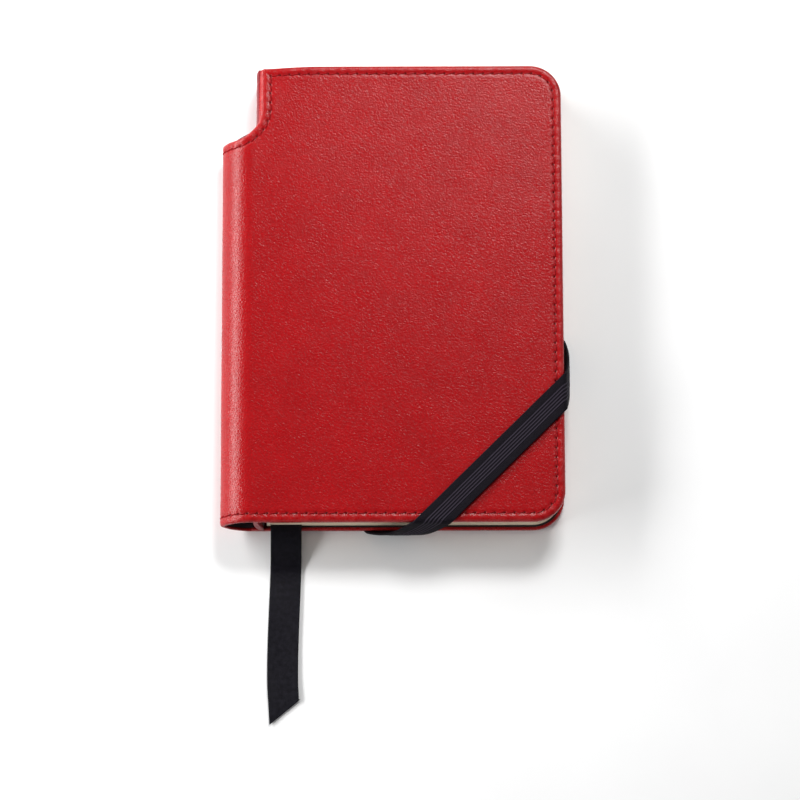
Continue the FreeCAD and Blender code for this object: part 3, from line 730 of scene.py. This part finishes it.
def seam_stitches(name, stop, place, material, depth=0.0, wanted=None):
    """The seam's stitches on the outer face, or on the inner one if a depth is given."""
    phase, _ = seam_phase(stop)
    path = joined(outline(SEAM_INSET, stop))
    points, faces, flats = [], [], []
    side = 1 if depth == 0 else -1
    for number in range(int(round(phase[-1]))):
        at = stitch_at(number)
        u, v = np.interp(at, phase, path[:, 0]), np.interp(at, phase, path[:, 1])
        middle = (u[5], v[5])
        if wanted and not wanted(*middle):
            continue
        along = np.array([u[-1] - u[0], v[-1] - v[0]])
        along /= np.linalg.norm(along)
        across = np.array([-along[1], along[0]])
        slant = (0.2 + 0.03 * RNG.standard_normal()) * STITCH_WAY
        u, v = u + across[0] * slant, v + across[1] * slant
        height = 0.02 - 0.52 * STITCH_DIVE + 0.012 * RNG.standard_normal()
        if depth:
            height = -depth + 0.1 + 0.4 * STITCH_DIVE
        line = place(u, v, height)
        lifted = place(u, v, height + side * 0.1)
        up = (lifted - line) / np.linalg.norm(lifted - line, axis=1)[:, None]
        level = place(u[4:7] + across[0] * 0.05, v[4:7] + across[1] * 0.05, height[4:7])[1] - line[5]
        tube(points, faces, flats, line, level / np.linalg.norm(level), up)
    return make_piece(name, points, faces, material, flat=flats)


# ---------------- spine

WALL_END_Y = WALL_HIGH.y - 0.8
WALL_ROUND = 0.9
WALL_FOOT_Z, WALL_TOP_Z = 0.98, 12.42
HEAD_SEAM_Y = 65.9


def foot_curl(y):
    """How far the wall curls at its foot end: 1 at the end and 0 from 7 mm on."""
    return float(1 - smooth_step(y, WALL_LOW.y, WALL_LOW.y + 7))


def wall_profile(y, steps):
    """The wall's outer side at y, from its top to its foot: x, z, how full its end is, and the painted shade
    of the head seam's crease.
    """
    opened = float(smooth_step(y, NOTCH_Y - 4, NOTCH_Y + 0.5))
    low, high = WALL_FOOT_Z + 0.55 * opened, WALL_TOP_Z - 0.4 * opened
    gap = min(y - WALL_LOW.y, WALL_END_Y - y)
    rounded = math.sqrt(max(0.0, 1 - (1 - min(max(gap, 0.0), WALL_ROUND) / WALL_ROUND) ** 2))
    side = WALL_HIGH.x + (HINGE.x - FOLD_OUT + 0.12 - WALL_HIGH.x) * opened
    crown = (WALL_HIGH.x - WALL_LOW.x) * (0.45 + 0.55 * rounded) + (side - WALL_HIGH.x)
    crease = 0.3 * bell(y - HEAD_SEAM_Y, 0.35) + 0.08 * bell(y - 66.8, 0.8)
    swell = np.clip(1 - np.abs(steps) ** 2.4, 0, 1) ** (0.62 + 0.3 * opened)
    x = side - crown * swell + crease
    z = (low + high) / 2 - (high - low) / 2 * np.sin(steps * math.pi / 2)
    x = x + foot_curl(y) * (0.85 * steps - 0.25 * np.cos(steps * math.pi))
    folds = 0.06 * waves(np.column_stack([x * 0, np.full(len(x), y), z]), 5, 3) * (1 - np.abs(steps) ** 4)
    # the last value is painted shade in the head seam's crease
    return x + folds, z, rounded, min(1.0, 2.6 * crease)


def spine_wall(material):
    """The rounded wall behind the pages, which shows in the notch and at the sleeve's ends."""
    ends = np.concatenate([np.arange(0, 1.2, 0.15), np.arange(1.2, 20, 0.6)])
    stations = np.concatenate([WALL_LOW.y + ends, np.arange(WALL_LOW.y + 22, NOTCH_Y - 16, 4),
                               WALL_END_Y - ends[::-1]])
    points, flats, edges, sunk = [], [], [], []
    steps = np.linspace(-1, 1, 41)
    for y in stations:
        # deep: painted shade in the head seam's crease
        x, z, rounded, deep = wall_profile(y, steps)
        curl = 0.85 * foot_curl(y)
        profile = list(zip(x, z)) + [(WALL_HIGH.x + 0.5 + curl, z[-1]), (WALL_HIGH.x + 0.5 - curl, z[0])]
        for px, pz in profile:
            points.append((px, y, pz))
            flats.append((pz * MM, y * MM, 0))
            edges.append(0.6 * (1 - rounded))
            sunk.append(deep)
    count = len(steps) + 2
    faces = grid_faces(len(stations), count, wrap_columns=True)
    return make_piece("spine_wall", points, faces, material, flat=flats, edge=edges, sunk=sunk)


def spine_seam(material):
    """The head seam where it crosses the wall."""
    steps = np.linspace(-1, 1, 400)
    x, z, _, _ = wall_profile(HEAD_SEAM_Y, steps)
    run = run_along(np.column_stack([x, z]))
    points, faces, flats = [], [], []
    count = int(run[-1] / PITCH)
    for number in range(count):
        at = stitch_at(number) * run[-1] / count
        px, pz = np.interp(at, run, x), np.interp(at, run, z)
        slope = np.column_stack([np.gradient(px), np.gradient(pz)])
        slope /= np.linalg.norm(slope, axis=1)[:, None]
        out = np.column_stack([-slope[:, 1], np.zeros(len(at)), slope[:, 0]])
        out *= np.where(out[:, :1] > 0, -1, 1)
        line = np.column_stack([px, HEAD_SEAM_Y + 0.12 * STITCH_WAY, pz])
        line = line + out * (0.06 - 0.5 * STITCH_DIVE)[:, None]
        tube(points, faces, flats, line, np.array([0.0, 1.0, 0.0]), out)
    return make_piece("seam_spine", points, faces, material, flat=flats)


def section_backs(material):
    """The folded backs of the sections and flyleaves, side by side."""
    heights = [(low.z, high.z) for low, high in map(box_mm, LEAF_NODES)]
    points, faces = [], []
    stations = np.linspace(FOLDS_LOW.y, FOLDS_HIGH.y, 60)
    angles = np.linspace(math.pi / 2, 1.5 * math.pi, 11)
    for low, high in heights:
        start = len(points)
        for y in stations:
            middle, half = (low + high) / 2, (high - low) / 2
            pinch = 1 - 0.12 * max(0.0, math.cos(2 * math.pi * y / 27.0)) ** 12
            depth = min(0.72, half * 1.8)
            for angle in angles:
                points.append((FOLDS_LOW.x + depth + depth * math.cos(angle) * pinch, y,
                               middle + half * math.sin(angle)))
            points.append((FOLDS_HIGH.x + 0.3, y, low))
            points.append((FOLDS_HIGH.x + 0.3, y, high))
        count = len(angles) + 2
        faces.extend(grid_faces(len(stations), count, wrap_columns=True, start=start))
        faces.extend(end_caps(start, len(stations), count))
    return make_piece("section_backs", points, faces, material, sharp=50, tone=np.full(len(points), 0.4))


# ---------------- leaves

PAGE_CORNER = 8.2
PAGE_FORE = 49.4
PAGE_END = 68.7
LEAVES = 8
LEAF_GAP = 0.022
LEAF_START_X = FOLDS_HIGH.x - 0.4
SECTION_NAMES = [f"section_{number:02d}" for number in range(1, 11)]
LEAF_NODES = SECTION_NAMES + ["front_flyleaf", "back_flyleaf"]


def leaf(points, faces, low, high, fore, reach):
    """Adds one leaf: a thin sheet with two rounded corners, and finer near the spine."""
    bending = np.arange(LEAF_START_X, LEAF_START_X + 9, 0.45)
    near = np.concatenate([bending, np.arange(LEAF_START_X + 10, fore - PAGE_CORNER, 9)])
    turn = np.linspace(0, math.pi / 2, 14)
    bend_x = fore - PAGE_CORNER + PAGE_CORNER * np.sin(turn)
    bend_y = reach - PAGE_CORNER + PAGE_CORNER * np.cos(turn)
    xs = np.concatenate([near, bend_x])
    ys = np.concatenate([np.full(len(near), reach), bend_y])
    start = len(points)
    for x, y in zip(xs, ys):
        for side_y in (-y, y):
            points.append((x, side_y, low))
            points.append((x, side_y, high))
    for i in range(len(xs) - 1):
        a, b = start + 4 * i, start + 4 * (i + 1)
        faces.extend([(a, b, b + 2, a + 2), (a + 1, a + 3, b + 3, b + 1),
                      (a, a + 1, b + 1, b), (a + 2, b + 2, b + 3, a + 3)])
    end = start + 4 * (len(xs) - 1)
    faces.extend([(start, start + 2, start + 3, start + 1), (end, end + 1, end + 3, end + 2)])


def leaves(name, bottom, top, count, material):
    """The leaves of a section between two heights, their edges a little uneven."""
    points, faces, tones = [], [], []
    pitch = (top - bottom) / count
    for number in range(count):
        low = bottom + number * pitch
        fore = PAGE_FORE - 0.16 * abs(RNG.standard_normal())
        reach = PAGE_END - 0.1 * abs(RNG.standard_normal())
        leaf(points, faces, low + LEAF_GAP / 2, low + pitch - LEAF_GAP / 2, fore, reach)
        tones.extend([RNG.random()] * (len(points) - len(tones)))
    return make_piece(name, points, faces, material, sharp=35, tone=tones)


def add_leaves(paper, flyleaf_paper):
    """Every section and flyleaf; the last two sections and the back flyleaf go with the back case."""
    for name in LEAF_NODES:
        low, high = box_mm(name)
        is_section = name in SECTION_NAMES
        piece = leaves(name + "_leaves", low.z, high.z - (0 if is_section else 0.02),
                       LEAVES if is_section else 1, paper if is_section else flyleaf_paper)
        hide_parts(name)
        if name in ("section_09", "section_10", "back_flyleaf"):
            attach(piece, "back_case")
        else:
            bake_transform(piece)


# ---------------- ribbon

RIBBON_W = 9.1
RIBBON_T = 0.2
RIBBON_CUT = 7.6
# how far towards the foot it leaves the leaves, and how far it lands on the table
RIBBON_LEAVES, RIBBON_LANDS = 69.4, 83.0


def ribbon_middle(run):
    """The ribbon's middle line: between the leaves, over the block's edge, down and along the table."""
    low, high = box_mm("ribbon_bookmark")
    inside_z = high.z - 0.11
    fall = smooth_step(-run, RIBBON_LEAVES, RIBBON_LANDS)
    z = inside_z + (RIBBON_T / 2 + 0.02 - inside_z) * fall
    gone = smooth_step(-run, 70, 128)
    z = z + gone * (0.10 + 0.10 * np.sin(-run / 6.1)) * smooth_step(-run, 84, 92)
    x = (low.x + high.x) / 2 + 0.15 - 0.95 * smooth_step(-run, 74, 112) + 0.75 * smooth_step(-run, 113, 130)
    return x, z


def ribbon(material):
    """The satin bookmark, with firmer selvedges and a slanted end."""
    low, high = box_mm("ribbon_bookmark")
    runs = np.concatenate([np.linspace(high.y, -66, 40), np.arange(-66.5, low.y - 0.01, -0.4)])
    across = np.linspace(-1, 1, 25)
    points, flats = [], []
    middle = ribbon_middle(runs)
    lengths = run_along(np.column_stack([runs, middle[1]]))
    for number, (y, middle_x, z, length) in enumerate(zip(runs, *middle, lengths)):
        cup = 0.16 * smooth_step(-y, 76, 100) * (1 - 0.6 * smooth_step(-y, 118, 128))
        for side in (1, -1):
            for c in across[::side]:
                x = middle_x + c * RIBBON_W / 2
                # the end is cut so that the spine side is longer
                cut_y = low.y + RIBBON_CUT * (c + 1) / 2
                y_here = max(y, cut_y + 0.0005 * number)
                edge = 1 + 0.5 * bell(1 - abs(c), 0.06)
                rise = cup * c * c + 0.05 * math.sin(c * 2.3 + y / 9) * float(smooth_step(-y, 84, 96))
                points.append((x, y_here, float(z) + rise + side * RIBBON_T / 2 * edge))
                flats.append((c * RIBBON_W / 2 * MM, length * MM, side * 0.0001))
    faces = grid_faces(len(runs), 2 * len(across), wrap_columns=True)
    piece = make_piece("ribbon", points, faces, material, flat=flats)
    return piece


# ---------------- elastic

BAND_W = 8.2
BAND_T = 0.8
# the elastic's middle line on the cover is y = x - BAND_MIDDLE
BAND_MIDDLE = 82.1
BAND_LIFT = 0.16
BAND_TOP_Z = TOP + BAND_LIFT + BAND_T / 2
BAND_STEP = 0.45
CORD_PITCH = 0.82
# how much of a wrap lies on the face before the edge and on the back after it
WRAP_FACE, WRAP_BACK = 12, 14
WRAP_FROM = 11
SHOULDER_R, FOOT_R = 1.25, 0.95


def wrap_profile(bulge):
    """The band's middle surface in section across an edge: (outwards, z) from the face to the back."""
    top = BAND_TOP_Z
    bottom = 0.28
    outer = 0.62
    face = line_points((-WRAP_FACE, top), (outer - SHOULDER_R, top), 60)
    shoulder = arc_points((outer - SHOULDER_R, top - SHOULDER_R), SHOULDER_R, math.pi / 2, 0.12, 16)
    foot = arc_points((outer - FOOT_R, bottom + FOOT_R), FOOT_R, -0.12, -math.pi / 2, 14)
    heights = np.linspace(shoulder[-1][1], foot[0][1], 40)[1:-1]
    share = (heights - foot[0][1]) / (shoulder[-1][1] - foot[0][1])
    side_x = foot[0][0] + (shoulder[-1][0] - foot[0][0]) * share + bulge * np.sin(math.pi * share) ** 0.9
    under = line_points((outer - FOOT_R, bottom), (-WRAP_BACK, bottom), 60)
    parts = [face[:-1], shoulder, np.column_stack([side_x, heights]), foot, under[1:]]
    return np.vstack(parts)


class Wrap:
    """Bends the flat band over one edge of the notebook."""

    def __init__(self, bulge):
        self.line = wrap_profile(bulge)
        self.run = run_along(self.line) - WRAP_FACE
        self.slope = np.gradient(self.line, self.run, axis=0)

    def at(self, e, h):
        """Distance outwards and height for a distance past the edge, and a height above the band's middle."""
        out, z = np.interp(e, self.run, self.line[:, 0]), np.interp(e, self.run, self.line[:, 1])
        along = np.array([np.interp(e, self.run, self.slope[:, k]) for k in (0, 1)])
        along /= np.linalg.norm(along)
        return out - h * along[1], z + h * along[0]


FORE_WRAP, FOOT_WRAP = Wrap(0.85), Wrap(1.5)
SIDE_RUN_FORE = float(FORE_WRAP.run[-1] - WRAP_BACK)
SIDE_RUN_FOOT = float(FOOT_WRAP.run[-1] - WRAP_BACK)


def band_point(s, c, h):
    """A point of the elastic: s along it from the corner's middle, c across it and h above its middle."""
    root = math.sqrt(0.5)
    x = (FORE + (BAND_MIDDLE - HEAD)) / 2 + (s - c) * root
    y = x - BAND_MIDDLE + 2 * c * root
    if x > FORE - WRAP_FROM:
        out, z = FORE_WRAP.at(x - FORE, h)
        return FORE + out, y, z
    if y < WRAP_FROM - HEAD:
        out, z = FOOT_WRAP.at(-HEAD - y, h)
        return x, -HEAD - out, z
    return x, y, BAND_TOP_Z + h


def band_section():
    """The elastic's section: (c, h, highlight) round it, with raised cords in the middle and plain edges; the
    third value is painted highlight on the cords' crests.
    """
    across = np.linspace(-1, 1, 91)
    upper = []
    for c in across:
        cords = math.cos(c * BAND_W / 2 * 2 * math.pi / CORD_PITCH)
        middle = float(smooth_step(1 - abs(c), 0.42, 0.5))
        edge = math.sqrt(max(0.0, 1 - max(0.0, (abs(c) - 0.94) / 0.06) ** 2))
        # the third value: painted highlight on each cord's crest
        upper.append((c * BAND_W / 2, (BAND_T / 2 - 0.03 + 0.06 * cords * middle) * (0.25 + 0.75 * edge),
                      max(0.0, cords) ** 2 * middle))
    return upper + [(c, -h, g) for c, h, g in upper[::-1]]


def band_piece(name, s_values, material):
    """A stretch of the elastic."""
    section = band_section()
    points, flats, ridges = [], [], []
    for s in s_values:
        wobble = 0.04 * noise.noise(Vector((s / 9.0, 3.0, 0.0)))
        for c, h, ridge in section:
            points.append(band_point(s, c + wobble, h))
            flats.append((c * MM, s * MM, math.copysign(0.0002, h)))
            ridges.append(ridge)
    count = len(section)
    faces = grid_faces(len(s_values), count, wrap_columns=True)
    faces.extend(end_caps(0, len(s_values), count))
    return make_piece(name, points, faces, material, flat=flats, ridge=ridges)


def elastic_material():
    """Braided elastic: ribbed cords with small crossing stitches, near black, with painted highlight on the
    cords' crests and painted shade in the yarn's hollows.
    """
    n = Nodes("elastic_braid", "flat")
    x, y, _ = n.add("SeparateXYZ", Vector=n.where).outputs
    lean = n.times(n.math("ABSOLUTE", n.wave(x, 2 * CORD_PITCH * MM)), 0.0004)
    loops = n.wave(n.plus(y, lean), 0.00062)
    cross = n.wave(x, CORD_PITCH * MM / 2)
    yarn = n.plus(n.times(loops, 0.5), n.times(cross, 0.35))
    fuzz = n.noise(0.00016, 3.0, 0.7)
    height = n.plus(yarn, n.times(fuzz, 0.8))
    # painted shade: darker in the yarn's hollows, lighter on its loops
    base = n.mix(n.ramp(yarn, -0.7, 0.8), linear(7, 4, 10), linear(20, 15, 25))
    # painted highlight: lighter along the crests of the raised cords
    base = n.mix(n.times(n.value("ridge"), 0.75), base, linear(76, 68, 82))
    base = n.mix(n.ramp(n.noise(0.003, 4.0, 0.7), 0.55, 0.75, 0.0, 0.25), base, linear(40, 38, 48))
    return n.done(base, n.ramp(fuzz, 0.3, 0.7, 0.55, 0.72), 0.1, height, 0.00004)


def under_band(plan):
    """How far the elastic presses the front cover in."""
    off = np.abs(plan[:, 1] - plan[:, 0] + BAND_MIDDLE) * math.sqrt(0.5)
    return 0.1 * (1 - smooth_step(off, BAND_W / 2 - 0.3, BAND_W / 2 + 1.2))


TAIL_IN = 9.2
TAIL_DENT = 0.66
# how far along itself the moving band runs on under the back cover, up to the fixed tails
TUCKED = BAND_W / 2 + 1


def tail_depth(plan):
    """How deep the back cover gives way to the elastic's two tails."""
    depth = np.zeros(len(plan))
    fore_c = (plan[:, 1] + plan[:, 0] - 2 * FORE - SIDE_RUN_FORE + BAND_MIDDLE) * math.sqrt(0.5)
    foot_c = (plan[:, 1] + plan[:, 0] + 2 * HEAD + SIDE_RUN_FOOT - BAND_MIDDLE) * math.sqrt(0.5)
    for c, inward in ((fore_c, FORE - plan[:, 0]), (foot_c, plan[:, 1] + HEAD)):
        strip = 1 - smooth_step(np.abs(c), BAND_W / 2 + 0.05, BAND_W / 2 + 0.4)
        depth = np.maximum(depth, TAIL_DENT * strip * (1 - smooth_step(inward, TAIL_IN, TAIL_IN + 0.4)))
    return depth


# ---------------- light and camera

CAMERA_AT = (0.002328, -0.36296, 1.29807)
CAMERA_TILT = math.radians(14.38769)
CAMERA_ROLL = math.radians(-0.152767)
CAMERA_LENS, CAMERA_SENSOR = 202.92, 36


def add_camera():
    """The camera, above the foot and looking down at the front cover."""
    data = bpy.data.cameras.new("camera")
    data.lens, data.sensor_width = CAMERA_LENS, CAMERA_SENSOR
    camera = add_object("camera", data)
    camera.matrix_world = (Matrix.Translation(CAMERA_AT) @ Matrix.Rotation(CAMERA_TILT, 4, "X")
                           @ Matrix.Rotation(CAMERA_ROLL, 4, "Z"))
    bpy.context.scene.camera = camera


def softbox(name, towards, distance, size, power):
    """A rectangular white light in a direction from the notebook, facing it."""
    data = bpy.data.lights.new(name, "AREA")
    data.shape = "RECTANGLE"
    data.size, data.size_y = size
    data.energy = power
    light = add_object(name, data)
    light.location = Vector(towards).normalized() * distance
    light.rotation_euler = light.location.to_track_quat("Z", "Y").to_euler()


def add_light():
    """A long key from the left, a small panel above the head, two weak fills and a pale surround."""
    softbox("left_strip", (-0.90, 0.20, 0.42), 0.60, (0.90, 0.17), KEY_POWER)
    softbox("head_panel", (0.15, 0.43, 0.51), 0.66, (0.24, 0.16), PANEL_POWER)
    softbox("right_fill", (0.9, 0.1, 0.40), 1.1, (0.9, 0.6), FILL_POWER)
    softbox("foot_fill", (-0.2, -0.9, 0.55), 1.1, (0.9, 0.6), FOOT_POWER)
    world = bpy.data.worlds.new("studio")
    world.use_nodes = True
    world.node_tree.nodes["Background"].inputs["Color"].default_value = (1, 1, 1, 1)
    world.node_tree.nodes["Background"].inputs["Strength"].default_value = AMBIENT
    bpy.context.scene.world = world
    bpy.context.scene.view_settings.view_transform = "Standard"


KEY_POWER = 7.1
PANEL_POWER = 3.4
FILL_POWER = 1.9
FOOT_POWER = 1.7
AMBIENT = 0.08


def add_floor():
    """A wide flat sheet of studio paper just under the notebook, in metres."""
    mesh = bpy.data.meshes.new("floor")
    reach, steps, height = 3.0, 13, -0.0002
    line = np.linspace(-reach, reach, steps)
    mesh.from_pydata([(x, y, height) for y in line for x in line], [], grid_faces(steps, steps))
    floor = add_object("floor", mesh)
    mesh.materials.append(floor_material())


# ---------------- the notebook

LEATHER_RED = (0.372, 0.0028, 0.0052, 1.0)
LEATHER_DARK = (0.19, 0.0014, 0.0028, 1.0)


def on_cover(u, v):
    """If a stitch is on the cover's board, and not on the sleeve."""
    return u > BOARD_LEFT + 1


def clear_of_tails(u, v):
    """If a stitch is clear of the elastic's tails."""
    return float(tail_depth(np.array([[u, v]]))[0]) < 0.1


def add_case():
    """The leather of the case, with its seams and the wall of the spine."""
    red = leather_material("case_leather", LEATHER_RED, LEATHER_DARK)
    # the wall's leather is the case red darkened: painted shade for the hollow between the sleeve and the
    # pages
    shaded_wall_red = leather_material("spine_leather_shaded", linear(128, 14, 28), LEATHER_DARK, 0.7, (0.3, 0.42))
    thread = thread_material("seam_thread", linear(128, 5, 14), linear(172, 30, 36))

    front = Skin(UNDER_U, on_front, under_band).make("leather_front_and_sleeve", red, 1.1)
    seam = seam_stitches("seam_front_and_sleeve", UNDER_U, on_front, thread)
    inner = seam_stitches("seam_front_inside", UNDER_U, on_front, thread, COVER, on_cover)
    for piece in (front, seam, inner):
        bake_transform(piece)
    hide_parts("front_cover_leather", "pen_sleeve_leather")
    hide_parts("front_cover_stitching", "sleeve_stitching")

    back = Skin(UNDER_X, on_back, tail_depth).make("leather_back", red, 1.6)
    back_seam = seam_stitches("seam_back", UNDER_X, on_back, thread, wanted=clear_of_tails)
    back_inner = seam_stitches("seam_back_inside", UNDER_X, on_back, thread, COVER, on_cover)
    wall = spine_wall(shaded_wall_red)
    wall_seam = spine_seam(thread)
    for piece in (back, back_seam, back_inner, wall, wall_seam):
        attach(piece, "back_case")
    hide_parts("back_cover_leather")
    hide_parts("back_cover_stitching")
    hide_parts("spine_wall_leather")


def add_elastic():
    """The elastic round the lower corner, and its tails under the back cover."""
    braid = elastic_material()
    half = (FORE + HEAD - BAND_MIDDLE) * math.sqrt(0.5)
    fore_end = half + SIDE_RUN_FORE * math.sqrt(2) + TUCKED
    foot_end = half + SIDE_RUN_FOOT * math.sqrt(2) + TUCKED
    band = band_piece("elastic", np.arange(-foot_end, fore_end + 0.01, BAND_STEP), braid)
    tails = join_tails(fore_end, foot_end, braid)
    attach(band, "elastic_band")
    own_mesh(band)
    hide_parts("elastic_band")
    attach(tails, "back_case")
    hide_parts("elastic_tails")


def join_tails(fore_end, foot_end, material):
    """Both tails as one piece."""
    reach = TAIL_IN * math.sqrt(2) - TUCKED
    fore = band_piece("elastic_tail_ends", np.arange(fore_end, fore_end + reach, BAND_STEP), material)
    foot = band_piece("tail", -np.arange(foot_end, foot_end + reach, BAND_STEP), material)
    bm = bmesh.new()
    bm.from_mesh(fore.data)
    bm.from_mesh(foot.data)
    bm.to_mesh(fore.data)
    bm.free()
    bpy.data.objects.remove(foot)
    for polygon in fore.data.polygons:
        polygon.use_smooth = True
    return fore


def dress(material, *nodes):
    """Gives CAD nodes that stay a better material."""
    for node in nodes:
        for slot in frame["nodes"][node].material_slots:
            slot.material = material


# hidden cloths: name, colour and lighter colour as shown, pitch in metres, and the nodes they cover
CLOTHS = (
    ("cover_lining_cloth", (22, 18, 20), (46, 40, 44), 0.0005, ("front_cover_lining", "back_cover_lining")),
    ("sleeve_lining_cloth", (40, 28, 34), (66, 50, 58), 0.0004, ("pen_sleeve_lining",)),
    ("spine_backing", (24, 14, 18), (44, 30, 34), 0.0005, ("spine_inlay",)),
)


def add_inside():
    """The leaves, the ribbon, and better materials for the pieces that stay as they are."""
    paper = leaf_material("ivory_paper", linear(244, 232, 212), linear(230, 214, 190))
    endpaper = fibre_material("endpaper", linear(230, 216, 192), linear(212, 194, 166))
    add_leaves(paper, endpaper)
    backs = section_backs(paper)
    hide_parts("text_block_folds")
    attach(backs, "back_case")
    satin = woven_material("ribbon_satin", linear(11, 9, 18), linear(24, 22, 33), "flat", 0.00034, across=0.8,
                           rough=(0.34, 0.52), sheen=0.0, depth=0.06, shine=0.2)
    strip = ribbon(satin)
    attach(strip, "back_case")
    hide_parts("ribbon_bookmark")
    for name, colour, light, pitch, nodes in CLOTHS:
        dress(woven_material(name, linear(*colour), linear(*light), None, pitch, rough=(0.6, 0.8), depth=0.2),
              *nodes)
    dress(fibre_material("grey_board", linear(150, 142, 130), linear(120, 112, 102), scale=1.6),
          "front_cover_board", "back_cover_board")
    dress(woven_material("mull_gauze", linear(226, 220, 206), linear(240, 236, 226), None, 0.0007, depth=0.3),
          "spine_mull")
    dress(fibre_material("linen_thread", linear(232, 226, 210), linear(200, 190, 170), scale=0.6),
          "sewing_thread")


add_case()
add_elastic()
add_inside()
add_floor()
add_light()
add_camera()
